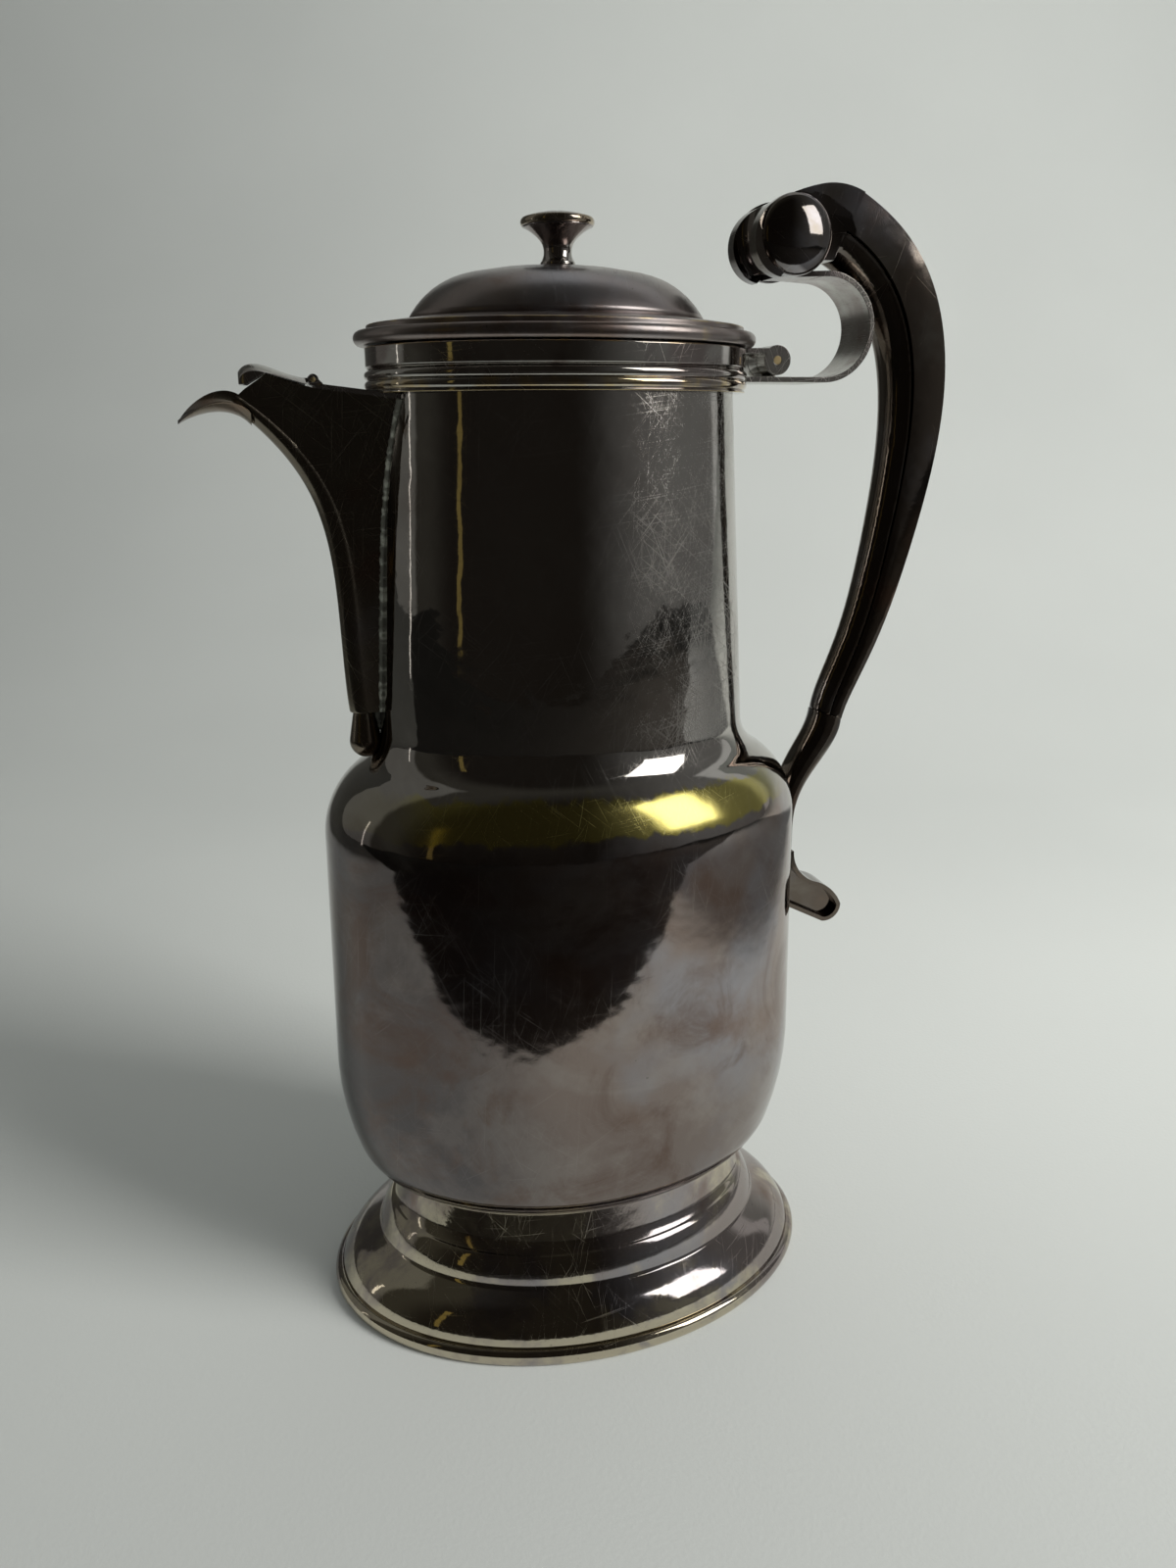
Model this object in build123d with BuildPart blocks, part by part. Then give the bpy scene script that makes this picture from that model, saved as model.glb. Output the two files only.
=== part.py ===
"""Barber's jug in silver-plated brass, oval, with a beak spout, a hinged domed lid and a scroll handle.

Millimetres. The origin is the middle of the foot on the table, +Z is up, +X points to the handle
and the spout points to -X. Every round piece is turned about Z and then narrowed to the oval plan.
"""
from build123d import *
from math import cos, pi, radians, sin, tan
import os

os.makedirs("parts", exist_ok=True)

# Plan and sheet
OVAL = 0.73
WALL = 1.1
SOLDER_GAP = 0.05

# Foot
FOOT_HEIGHT = 32.0
FOOT_RIM_RADIUS = 63.2
FOOT_SHEET_RADIUS = 61.3
RIM_WIRE_HEIGHT = 3.9
RIM_WIRE_INNER = 60.0
RIM_WIRE_ROUND = 1.0
RIM_WIRE_LEDGE = 0.4
LOWER_STEP_TOP = 12.4
LOWER_STEP_RADIUS = 54.4
LOWER_STEP_BULGE = 5.0
LOWER_STEP_DROP = 2.6
UPPER_STEP_FOOT = 14.4
UPPER_STEP_RADIUS = 50.9
UPPER_STEP_LEAN = 1.0
FOOT_SWELL_RISE = 1.0
FOOT_NECK_FOOT = 21.6
FOOT_NECK_RADIUS = 44.2
FOOT_NECK_FLARE = 2.3
FOOT_LEDGE = 0.8
FOOT_LEDGE_RISE = 0.4
FOOT_TOP_FLARE = 0.5
FOOT_SEAT_INNER = 33.0

# Body and neck
BODY_RADIUS = 58.5
BODY_TAPER = 1.2
BODY_WIDEST_HEIGHT = 64.0
BASE_FLAT_SHARE = 0.6564
BODY_TURN = 12.5
BODY_TURN_RISE = 1.2
BODY_BILGE = 3.6
BODY_BILGE_RISE = 10.0
SHOULDER_HEIGHT = 133.3
SHOULDER_ROUND = 20.0
SHOULDER_RISE = 8.9
NECK_FOOT_RADIUS = 43.7
NECK_FILLET = 9.0
MOUTH_HEIGHT = 229.6
MOUTH_RADIUS = 38.8
PIERCING_DROP = 16.6
PIERCING_RISE = 14.0
PIERCING_WIDTH = 12.0
PIERCING_FOOT_WIDTH = 4.4
PIERCING_CORNER = 2.0

# Mouth mounts
COLLAR_DROP = 9.3
REED_LIP = 0.6
REED_HEIGHT = 2.0
REED_COUNT = 2
REED_RADIUS = 42.4
REED_GROOVE = 41.7
BAND_RADIUS = 42.0
BAND_ROUND = 0.4

# Lid
LID_GAP = 0.3
LID_RIM_RADIUS = 44.2
LID_BEAD_HEIGHT = 2.8
LID_BEAD_EDGE = 0.9
LID_STEP_RADIUS = 41.4
LID_STEP_HEIGHT = 4.0
LID_SEAT_HEIGHT = 5.3
LID_RIM_INNER = 30.6
LID_CREASE_ROUND = 0.3
LID_EDGE_ROUND = 0.4
LID_SEAT_ROUND = 0.6
DOME_RADIUS = 32.5
DOME_CROWN_RADIUS = 20.0
DOME_CROWN_DROP = 2.0
DOME_HEIGHT = 11.1
DOME_SHEET = 1.0
BEZEL_RADIUS = 37.1
BEZEL_DEPTH = 5.7
BEZEL_SHEET = 1.1
BEZEL_LEDGE = 0.2

# Knob on the lid
KNOB_BASE_RADIUS = 3.75
KNOB_WAIST_RADIUS = 3.0
KNOB_RADIUS = 7.9
KNOB_STEM_HEIGHT = 7.6
KNOB_BASE_EDGE = 0.5
KNOB_WAIST_SHARE = 0.36
KNOB_FLARE = 0.9
KNOB_FLARE_SHARE = 0.66
KNOB_CAP_HEIGHT = 2.9
KNOB_EDGE_HEIGHT = 1.6
KNOB_EDGE_ROUND = 0.35

# Lid hinge
HINGE_OUT = 6.7
HINGE_DROP = 2.2
HINGE_WIDTH = 14.0
KNUCKLE_RADIUS = 3.2
KNUCKLE_MIDDLE = 4.8
KNUCKLE_GAP = 0.2
PIN_RADIUS = 0.9
PIN_CLEARANCE = 0.05
LEAF_SHEET = 1.1
LEAF_CLEARANCE = 0.35
LEAF_LAP = 2.0
LEAF_SLOT_SIDE = 0.8
KNUCKLE_WEB = 3.4

# Scroll strap behind the hinge
STRAP_SHEET = 1.2
STRAP_WIDTH = 14.0
STRAP_END_WIDTH = 9.2
STRAP_TURN_OUT = 11.8
STRAP_RISE = 23.5
STRAP_END_BACK = 14.6
STRAP_LAP = 6.0
STRAP_BELOW_KNUCKLE = 0.3
BLOCK_BACK = 9.4
BLOCK_LENGTH = 5.0
BLOCK_WIDTH = 5.5
BLOCK_HEIGHT = 2.0

# Handle: the seam between its two straps is the guide line
HANDLE_TOP_OUT = 25.2
HANDLE_TOP_RISE = 24.8
HANDLE_TOP_SLOPE = 25.0
HANDLE_SHOULDER_OUT = 12.2
HANDLE_SHOULDER_DROP = 10.1
HANDLE_REACH = 20.0
HANDLE_REACH_SHARE = 0.627
HANDLE_LOWER_REACH = 13.0
HANDLE_LOWER_SHARE = 0.221
HANDLE_KNEE_OUT = 10.0
HANDLE_KNEE_RISE = 10.2
HANDLE_KNEE_SLOPE = 19.0
HANDLE_WIDTH_TOP = 15.6
HANDLE_WIDTH_KNEE = 8.4
HANDLE_STATIONS = 9
BACK_DEPTH_TOP = 8.5
BACK_DEPTH_KNEE = 4.4
BACK_SWELL = 2.4
BACK_CROWN_TOP = 0.15
BACK_CROWN_KNEE = 1.2
BACK_BULGE_TOP = 0.05
BACK_BULGE_KNEE = 0.5
FRONT_DEPTH_TOP = 6.0
FRONT_DEPTH_KNEE = 4.0
FRONT_WIDTH_SHARE = 0.86
FRONT_ROUND_DEPTH = 0.75
FRONT_ROUND_WIDTH = 0.68
SEAM_GAP = 0.1

# Volute head of the handle, measured back from the top of the seam
HEAD_PROUD = 0.1
HEAD_CREST_BACK = 7.0
HEAD_CREST = 8.9
HEAD_BROW_BACK = 17.0
HEAD_BROW = 5.5
HEAD_REACH = 22.0
HEAD_NOSE_DROP = 2.6
HEAD_CHIN_BACK = 15.8
HEAD_CHIN_DROP = 1.7
HEAD_SEAT_GAP = 0.6
HEAD_SLOT_GAP = 0.3
DISH_BACK = 9.0
DISH_RISE = 0.0
DISH_TILT = 14.0
DISH_LONG = 12.5
DISH_TALL = 7.4
DISH_DEPTH = 1.4
BOSS_BACK = 10.6
BOSS_DROP = 1.1
BOSS_RADIUS = 5.0
BOSS_RISE = 2.9
GROOVE_BACK = 8.5
GROOVE_RISE = 0.6
GROOVE_REACH = 13.2
GROOVE_DEPTH = 3.2
GROOVE_WIDTH = 9.4
GROOVE_LOWER = 75.0
GROOVE_UPPER = 45.0

# Lower scroll, soldered to the body
SCROLL_WIDTH = 8.0
SCROLL_TOP_WIDTH = 8.6
SCROLL_ROUNDING = 0.9
SCROLL_SWELL = 4.1
SCROLL_SWELL_OUT = 7.9
SCROLL_SWELL_DROP = 6.7
SCROLL_MIDDLE = 3.3
SCROLL_MIDDLE_OUT = 3.1
SCROLL_MIDDLE_DROP = 14.3
SCROLL_THIN = 2.4
SCROLL_THIN_RISE = 1.6
SCROLL_THIN_DROP = 28.5
TAIL_ROOT_DROP = 7.0
TAIL_TOP_OUT = 8.3
TAIL_TOP_DROP = 9.2
TAIL_REACH = 15.8
TAIL_REACH_DROP = 16.2
TAIL_TIP_BACK = 1.7
TAIL_TIP_RISE = 0.8
TAIL_FOOT_OUT = 10.6
TAIL_FOOT_DROP = 4.4
TAIL_HEEL_RISE = 1.2
TAIL_RIM = 1.1
TAIL_RECESS = 2.2

# Spout, a hollow keel in plan
SPOUT_FOOT_RISE = 18.7
SPOUT_FOOT_OUT = 6.3
SPOUT_LOW_OUT = 7.3
SPOUT_LOW_SHARE = 0.324
SPOUT_BEND_OUT = 12.5
SPOUT_BEND_SHARE = 0.676
SPOUT_FALL_OUT = 23.0
SPOUT_FALL_SHARE = 0.854
SPOUT_END_OUT = 40.3
SPOUT_TOP_DROP = 3.6
SPOUT_FLARE_POWER = 1.8
KEEL_STATIONS = 12
SPOUT_SHEET = 1.0
SPOUT_SEAL = 0.02
KEEL_ROUND = 3.2
KEEL_WRAP = 70.0
FLANK_HOLLOW = 0.05
SPOUT_ROOT_IN = 9.7
SPOUT_FOOT_HALF = 3.2
SPOUT_TOP_HALF = 14.0
SPOUT_WALL_OUT = 9.2
SPOUT_WALL_DROP = 8.4
SPOUT_ROOT_DROP = 9.6
SPOUT_PEAK_OUT = 18.8
SPOUT_PEAK_DROP = 5.6
SPOUT_MOUTH_OUT = 23.2
SPOUT_MOUTH_DROP = 8.5
SPOUT_MOUTH_SLOPE = 40.0
ROOF_SHEET = 1.0
ROOF_END_GAP = 0.5
DROP_OUT = 3.1
DROP_HEIGHT = 10.8
DROP_WIDE_RISE = 4.3
DROP_RADIUS = 3.6
DROP_NECK_RADIUS = 2.4

# Lip, a drooping leaf below the mouth of the spout
LIP_SHEET = 0.8
LIP_ROOT_BACK = 0.9
LIP_ROOT_DROP = 7.1
LIP_ROOT_HALF = 3.6
LIP_ROOT_RISE = 3.2
LIP_ARCH_OUT = 4.3
LIP_ARCH_DROP = 4.3
LIP_ARCH_HALF = 5.4
LIP_ARCH_RISE = 3.0
LIP_FALL_OUT = 9.5
LIP_FALL_DROP = 4.9
LIP_FALL_HALF = 4.4
LIP_FALL_RISE = 1.9
LIP_TIP_OUT = 13.6
LIP_TIP_DROP = 6.8
LIP_LEAN = 13.0

# Spout flap, an arched bonnet that turns on a pin across the spout
FLAP_PIN_OUT = 0.3
FLAP_PIN_RISE = 1.7
FLAP_PIN_RADIUS = 0.5
FLAP_KNUCKLE_RADIUS = 1.1
FLAP_KNUCKLE_WIDTH = 4.4
FLAP_KNUCKLE_GAP = 0.2
FLAP_EARS_WIDTH = 12.0
FLAP_SHEET = 0.9
FLAP_GAP = 0.25
FLAP_REAR_OUT = 1.5
FLAP_NOSE_FOOT_BACK = 1.7
FLAP_NOSE_FOOT_DROP = 0.9
FLAP_SIDE_DEPTH = 6.0
FLAP_ARCH = 1.6
FLAP_RIDGE = [(0.0, 7.6, 0.5), (5.0, 6.4, 1.9), (9.3, 5.0, 3.2), (12.1, 4.1, 2.7), (13.2, 3.4, 1.5)]

# Heights and reaches that follow from the sizes
BODY_TOP_RADIUS = BODY_RADIUS - BODY_TAPER
BASE_FLAT_RADIUS = BODY_RADIUS * BASE_FLAT_SHARE
NECK_FOOT_HEIGHT = SHOULDER_HEIGHT + SHOULDER_RISE
REED_FOOT = MOUTH_HEIGHT - COLLAR_DROP
HINGE_X = BAND_RADIUS + HINGE_OUT
HINGE_Z = MOUTH_HEIGHT - HINGE_DROP
STRAP_TURN_X = HINGE_X + STRAP_TURN_OUT
HANDLE_TOP_X = MOUTH_RADIUS + HANDLE_TOP_OUT
HANDLE_TOP_Z = MOUTH_HEIGHT + HANDLE_TOP_RISE
HANDLE_SHOULDER_X = HANDLE_TOP_X + HANDLE_SHOULDER_OUT
HANDLE_SHOULDER_Z = HANDLE_TOP_Z - HANDLE_SHOULDER_DROP
HANDLE_OUT_X = HANDLE_TOP_X + HANDLE_REACH
HANDLE_LOWER_X = HANDLE_TOP_X + HANDLE_LOWER_REACH
HANDLE_KNEE_X = BODY_RADIUS + HANDLE_KNEE_OUT
HANDLE_KNEE_Z = SHOULDER_HEIGHT + HANDLE_KNEE_RISE
HANDLE_OUT_Z = HANDLE_KNEE_Z + (HANDLE_TOP_Z - HANDLE_KNEE_Z) * HANDLE_REACH_SHARE
HANDLE_LOWER_Z = HANDLE_KNEE_Z + (HANDLE_TOP_Z - HANDLE_KNEE_Z) * HANDLE_LOWER_SHARE
STRAP_END_X = HANDLE_TOP_X - STRAP_END_BACK
BLOCK_X = HANDLE_TOP_X - BLOCK_BACK
BOSS_X = HANDLE_TOP_X - BOSS_BACK
BOSS_Z = HANDLE_TOP_Z - BOSS_DROP
GROOVE_X = HANDLE_TOP_X - GROOVE_BACK
GROOVE_Z = HANDLE_TOP_Z + GROOVE_RISE
SCROLL_SWELL_X = BODY_RADIUS + SCROLL_SWELL_OUT
SCROLL_SWELL_Z = HANDLE_KNEE_Z - SCROLL_SWELL_DROP
SCROLL_MIDDLE_X = BODY_RADIUS + SCROLL_MIDDLE_OUT
SCROLL_MIDDLE_Z = HANDLE_KNEE_Z - SCROLL_MIDDLE_DROP
SCROLL_THIN_OUT = BODY_RADIUS + SCROLL_THIN_RISE
SCROLL_THIN_Z = HANDLE_KNEE_Z - SCROLL_THIN_DROP
TAIL_ROOT_Z = SCROLL_THIN_Z - TAIL_ROOT_DROP
TAIL_TOP_X = BODY_RADIUS + TAIL_TOP_OUT
TAIL_TOP_Z = TAIL_ROOT_Z - TAIL_TOP_DROP
TAIL_REACH_X = BODY_RADIUS + TAIL_REACH
TAIL_REACH_Z = TAIL_ROOT_Z - TAIL_REACH_DROP
TAIL_FOOT_X = BODY_RADIUS + TAIL_FOOT_OUT
TAIL_FOOT_Z = TAIL_REACH_Z - TAIL_FOOT_DROP
TAIL_HEEL_Z = TAIL_REACH_Z + TAIL_HEEL_RISE
SPOUT_FOOT = SHOULDER_HEIGHT + SPOUT_FOOT_RISE
SPOUT_TOP = MOUTH_HEIGHT - SPOUT_TOP_DROP
SPOUT_FOOT_X = NECK_FOOT_RADIUS + SPOUT_FOOT_OUT
SPOUT_LOW_X = NECK_FOOT_RADIUS + SPOUT_LOW_OUT
SPOUT_LOW_Z = SPOUT_FOOT + (SPOUT_TOP - SPOUT_FOOT) * SPOUT_LOW_SHARE
SPOUT_BEND_X = NECK_FOOT_RADIUS + SPOUT_BEND_OUT
SPOUT_BEND_Z = SPOUT_FOOT + (SPOUT_TOP - SPOUT_FOOT) * SPOUT_BEND_SHARE
SPOUT_FALL_X = NECK_FOOT_RADIUS + SPOUT_FALL_OUT
SPOUT_FALL_Z = SPOUT_FOOT + (SPOUT_TOP - SPOUT_FOOT) * SPOUT_FALL_SHARE
SPOUT_END_X = NECK_FOOT_RADIUS + SPOUT_END_OUT
SPOUT_ROOT_X = NECK_FOOT_RADIUS - SPOUT_ROOT_IN
SPOUT_WALL_X = NECK_FOOT_RADIUS + SPOUT_WALL_OUT
SPOUT_WALL_Z = MOUTH_HEIGHT - SPOUT_WALL_DROP
SPOUT_ROOT_Z = MOUTH_HEIGHT - SPOUT_ROOT_DROP
SPOUT_PEAK_X = NECK_FOOT_RADIUS + SPOUT_PEAK_OUT
SPOUT_PEAK_Z = MOUTH_HEIGHT - SPOUT_PEAK_DROP
SPOUT_MOUTH_X = NECK_FOOT_RADIUS + SPOUT_MOUTH_OUT
SPOUT_MOUTH_Z = MOUTH_HEIGHT - SPOUT_MOUTH_DROP
PIERCING_TOP = MOUTH_HEIGHT - PIERCING_DROP
PIERCING_FOOT = SPOUT_FOOT + PIERCING_RISE
ROOF_END_X = SPOUT_WALL_X - ROOF_END_GAP
DROP_X = NECK_FOOT_RADIUS + DROP_OUT
DROP_FOOT_Z = SPOUT_FOOT - DROP_HEIGHT
FLAP_PIN_X = SPOUT_WALL_X + FLAP_PIN_OUT
FLAP_PIN_Z = SPOUT_WALL_Z + FLAP_PIN_RISE
FLAP_REAR_X = FLAP_PIN_X + FLAP_REAR_OUT
FLAP_NOSE_X = FLAP_REAR_X + FLAP_RIDGE[-1][0]
FLAP_NOSE_FOOT_X = FLAP_NOSE_X - FLAP_NOSE_FOOT_BACK
FLAP_NOSE_FOOT_Z = FLAP_PIN_Z - FLAP_NOSE_FOOT_DROP


def neck_radius(z):
    """Outside of the tapering neck along the long axis."""
    share = (z - NECK_FOOT_HEIGHT) / (MOUTH_HEIGHT - NECK_FOOT_HEIGHT)
    return NECK_FOOT_RADIUS + (MOUTH_RADIUS - NECK_FOOT_RADIUS) * share


def body_outline(inset, top):
    """Half outline of body and neck up to the height top, moved inwards by inset, closed on the axis."""
    base = Line((0, FOOT_HEIGHT + inset), (BASE_FLAT_RADIUS, FOOT_HEIGHT + inset))
    turn_end = (BODY_RADIUS - BODY_TURN - inset, FOOT_HEIGHT + BODY_TURN_RISE + inset)
    turn = TangentArc([base @ 1, turn_end], tangent=base % 1)
    bilge_end = (BODY_RADIUS - BODY_BILGE - inset, FOOT_HEIGHT + BODY_BILGE_RISE + inset)
    bilge = TangentArc([turn @ 1, bilge_end], tangent=turn % 1)
    flank = TangentArc([bilge @ 1, (BODY_RADIUS - inset, BODY_WIDEST_HEIGHT)], tangent=bilge % 1)
    rise = FilletPolyline(
        flank @ 1,
        (BODY_TOP_RADIUS - inset, SHOULDER_HEIGHT - inset / 2),
        (NECK_FOOT_RADIUS - inset, NECK_FOOT_HEIGHT - inset / 2),
        (neck_radius(top) - inset, top),
        radius=[SHOULDER_ROUND - inset, NECK_FILLET + inset],
    )
    Polyline(rise @ 1, (0, top), (0, FOOT_HEIGHT + inset))


def foot_outline(inset):
    """Half outline of the stepped foot, moved down and inwards by inset, closed on the axis."""
    lower = ThreePointArc(
        (FOOT_SHEET_RADIUS - inset, RIM_WIRE_HEIGHT),
        (LOWER_STEP_RADIUS + LOWER_STEP_BULGE - inset, LOWER_STEP_TOP - LOWER_STEP_DROP - inset),
        (LOWER_STEP_RADIUS - inset, LOWER_STEP_TOP - inset),
    )
    upper_middle = (UPPER_STEP_FOOT + FOOT_NECK_FOOT) / 2 + FOOT_SWELL_RISE
    neck_middle = (FOOT_NECK_FOOT + FOOT_HEIGHT) / 2 + FOOT_SWELL_RISE
    neck_foot = FOOT_NECK_RADIUS + FOOT_NECK_FLARE - inset
    band = Line(lower @ 1, (UPPER_STEP_RADIUS - inset, UPPER_STEP_FOOT - inset))
    upper = ThreePointArc(
        band @ 1,
        (UPPER_STEP_RADIUS - UPPER_STEP_LEAN - inset, upper_middle - inset),
        (neck_foot + FOOT_LEDGE, FOOT_NECK_FOOT - inset),
    )
    ledge = Line(upper @ 1, (neck_foot, FOOT_NECK_FOOT + FOOT_LEDGE_RISE - inset))
    neck = ThreePointArc(
        ledge @ 1,
        (FOOT_NECK_RADIUS - inset, neck_middle - inset),
        (FOOT_NECK_RADIUS + FOOT_TOP_FLARE - inset, FOOT_HEIGHT - inset),
    )
    Polyline(neck @ 1, (0, FOOT_HEIGHT - inset), (0, RIM_WIRE_HEIGHT), lower @ 0)


def oval_disc(radius, low, high):
    """Oval block that reaches radius along the long axis, between two heights."""
    with BuildPart(mode=Mode.PRIVATE) as block:
        with BuildSketch(Plane.XY.offset(low)):
            Ellipse(radius, radius * OVAL)
        extrude(amount=high - low)
    return block.part


def body_block(grow):
    """The body and neck as a closed solid, grown by a gap, for pieces that lie against it."""
    with BuildPart(mode=Mode.PRIVATE) as block:
        with BuildSketch(Plane.XZ):
            with BuildLine():
                body_outline(-grow, MOUTH_HEIGHT)
            make_face()
        revolve(axis=Axis.Z)
        scale(by=(1, OVAL, 1))
    return block.part


# Body and neck, one raised shell with the way to the spout pierced in its end
with BuildPart() as body:
    with BuildSketch(Plane.XZ):
        with BuildLine():
            body_outline(0, MOUTH_HEIGHT)
        make_face()
    revolve(axis=Axis.Z)
    with BuildSketch(Plane.XZ):
        with BuildLine():
            body_outline(WALL, MOUTH_HEIGHT + WALL)
        make_face()
    revolve(axis=Axis.Z, mode=Mode.SUBTRACT)
    scale(by=(1, OVAL, 1))
    with BuildSketch(Plane.YZ.offset(-BODY_RADIUS)):
        with BuildLine():
            Polyline(
                (-PIERCING_WIDTH / 2, PIERCING_TOP),
                (-PIERCING_FOOT_WIDTH / 2, PIERCING_FOOT),
                (PIERCING_FOOT_WIDTH / 2, PIERCING_FOOT),
                (PIERCING_WIDTH / 2, PIERCING_TOP),
                close=True,
            )
        make_face()
        fillet(vertices(), radius=PIERCING_CORNER)
    extrude(amount=BODY_RADIUS - MOUTH_RADIUS / 2, mode=Mode.SUBTRACT)
body.part.label = "body"
export_step(body.part, "parts/body.step")

# Foot, a spun shell in two steps with a hollow neck, open underneath
with BuildPart() as foot:
    with BuildSketch(Plane.XZ):
        with BuildLine():
            foot_outline(0)
        make_face()
    revolve(axis=Axis.Z)
    with BuildSketch(Plane.XZ):
        with BuildLine():
            foot_outline(WALL)
        make_face()
    revolve(axis=Axis.Z, mode=Mode.SUBTRACT)
    with BuildSketch():
        Circle(FOOT_SEAT_INNER)
    extrude(amount=2 * FOOT_HEIGHT, mode=Mode.SUBTRACT)
    scale(by=(1, OVAL, 1))
foot.part.label = "foot"
export_step(foot.part, "parts/foot.step")

# Rim wire, the half-round ring that the foot stands on
with BuildPart() as foot_rim:
    with BuildSketch(Plane.XZ):
        with BuildLine():
            floor = Line((RIM_WIRE_INNER, -WALL), (FOOT_RIM_RADIUS - RIM_WIRE_ROUND, -WALL))
            side = Line(floor @ 1, (FOOT_RIM_RADIUS - RIM_WIRE_ROUND, 0))
            swell = ThreePointArc(
                side @ 1,
                (FOOT_RIM_RADIUS, RIM_WIRE_HEIGHT / 2),
                (FOOT_SHEET_RADIUS + RIM_WIRE_LEDGE, RIM_WIRE_HEIGHT),
            )
            Polyline(swell @ 1, (RIM_WIRE_INNER, RIM_WIRE_HEIGHT), floor @ 0)
        make_face()
    revolve(axis=Axis.Z)
    scale(by=(1, OVAL, 1))
    split(bisect_by=Plane.XY, keep=Keep.TOP)
foot_rim.part.label = "foot_rim"
export_step(foot_rim.part, "parts/foot_rim.step")

# Reeded wire soldered round the top of the neck
reed_top = REED_FOOT + REED_LIP + REED_COUNT * REED_HEIGHT + REED_LIP
with BuildPart() as reeded_wire:
    with BuildSketch(Plane.XZ):
        with BuildLine():
            Polyline(
                (REED_GROOVE, reed_top),
                (neck_radius(reed_top) + SOLDER_GAP, reed_top),
                (neck_radius(REED_FOOT) + SOLDER_GAP, REED_FOOT),
                (BAND_RADIUS, REED_FOOT),
                (BAND_RADIUS, REED_FOOT + REED_LIP / 2),
                (REED_GROOVE, REED_FOOT + REED_LIP),
            )
            for reed in range(REED_COUNT):
                low = REED_FOOT + REED_LIP + reed * REED_HEIGHT
                ThreePointArc(
                    (REED_GROOVE, low),
                    (REED_RADIUS, low + REED_HEIGHT / 2),
                    (REED_GROOVE, low + REED_HEIGHT),
                )
            Line((REED_GROOVE, reed_top - REED_LIP), (REED_GROOVE, reed_top))
        make_face()
    revolve(axis=Axis.Z)
    scale(by=(1, OVAL, 1))
reeded_wire.part.label = "reeded_wire"
export_step(reeded_wire.part, "parts/reeded_wire.step")

# Plain band above the reeds, which stiffens the mouth
with BuildPart() as mouth_band:
    with BuildSketch(Plane.XZ):
        with BuildLine():
            Polyline(
                (neck_radius(reed_top) + SOLDER_GAP, reed_top),
                (BAND_RADIUS, reed_top),
                (BAND_RADIUS, MOUTH_HEIGHT - BAND_ROUND),
                (BAND_RADIUS - BAND_ROUND, MOUTH_HEIGHT),
                (MOUTH_RADIUS + SOLDER_GAP, MOUTH_HEIGHT),
                close=True,
            )
        make_face()
    revolve(axis=Axis.Z)
    scale(by=(1, OVAL, 1))
mouth_band.part.label = "mouth_band"
export_step(mouth_band.part, "parts/mouth_band.step")

# Lid rim, a stepped moulding with a bead at its edge
lid_foot = MOUTH_HEIGHT + LID_GAP
lid_seat = lid_foot + LID_SEAT_HEIGHT
rim_seat_radius = BEZEL_RADIUS - BEZEL_SHEET - BEZEL_LEDGE
with BuildPart() as lid_rim:
    with BuildSketch(Plane.XZ):
        with BuildLine():
            under = Line((rim_seat_radius, lid_foot), (LID_RIM_RADIUS - LID_BEAD_EDGE, lid_foot))
            bead = ThreePointArc(
                under @ 1,
                (LID_RIM_RADIUS, lid_foot + LID_BEAD_HEIGHT / 2),
                (LID_RIM_RADIUS - LID_BEAD_EDGE, lid_foot + LID_BEAD_HEIGHT),
            )
            step = FilletPolyline(
                bead @ 1,
                (LID_STEP_RADIUS, lid_foot + LID_BEAD_HEIGHT),
                (LID_STEP_RADIUS, lid_foot + LID_STEP_HEIGHT),
                (DOME_RADIUS, lid_seat),
                (LID_RIM_INNER, lid_seat),
                radius=[LID_CREASE_ROUND, LID_EDGE_ROUND, LID_SEAT_ROUND],
            )
            Polyline(
                step @ 1,
                (LID_RIM_INNER, lid_seat - DOME_SHEET),
                (rim_seat_radius, lid_foot + LID_BEAD_HEIGHT),
                under @ 0,
            )
        make_face()
    revolve(axis=Axis.Z)
    scale(by=(1, OVAL, 1))
lid_rim.part.label = "lid_rim"
export_step(lid_rim.part, "parts/lid_rim.step")


def dome_outline(inset):
    """Half outline of the dome above the lid rim, moved inwards by inset, closed on the axis."""
    top = lid_seat + DOME_HEIGHT - inset
    crown = TangentArc([(0, top), (DOME_CROWN_RADIUS - inset / 2, top - DOME_CROWN_DROP)], tangent=(1, 0))
    wall = TangentArc([crown @ 1, (DOME_RADIUS - inset, lid_seat)], tangent=crown % 1)
    Polyline(wall @ 1, (DOME_RADIUS - inset, lid_seat - DOME_SHEET), (0, lid_seat - DOME_SHEET), (0, top))


# Dome of the lid, a raised sheet soldered on the rim
with BuildPart() as lid_dome:
    with BuildSketch(Plane.XZ):
        with BuildLine():
            dome_outline(0)
        make_face()
    revolve(axis=Axis.Z)
    with BuildSketch(Plane.XZ):
        with BuildLine():
            dome_outline(DOME_SHEET)
        make_face()
    revolve(axis=Axis.Z, mode=Mode.SUBTRACT)
    scale(by=(1, OVAL, 1))
    split(bisect_by=Plane.XY.offset(lid_seat), keep=Keep.TOP)
lid_dome.part.label = "lid_dome"
export_step(lid_dome.part, "parts/lid_dome.step")

# Bezel, the ring under the lid that drops inside the mouth
with BuildPart() as lid_bezel:
    with BuildSketch(Plane.XY.offset(lid_foot - BEZEL_DEPTH)):
        Ellipse(BEZEL_RADIUS, BEZEL_RADIUS * OVAL)
        Ellipse(BEZEL_RADIUS - BEZEL_SHEET, (BEZEL_RADIUS - BEZEL_SHEET) * OVAL, mode=Mode.SUBTRACT)
    extrude(amount=BEZEL_DEPTH)
lid_bezel.part.label = "lid_bezel"
export_step(lid_bezel.part, "parts/lid_bezel.step")

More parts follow.
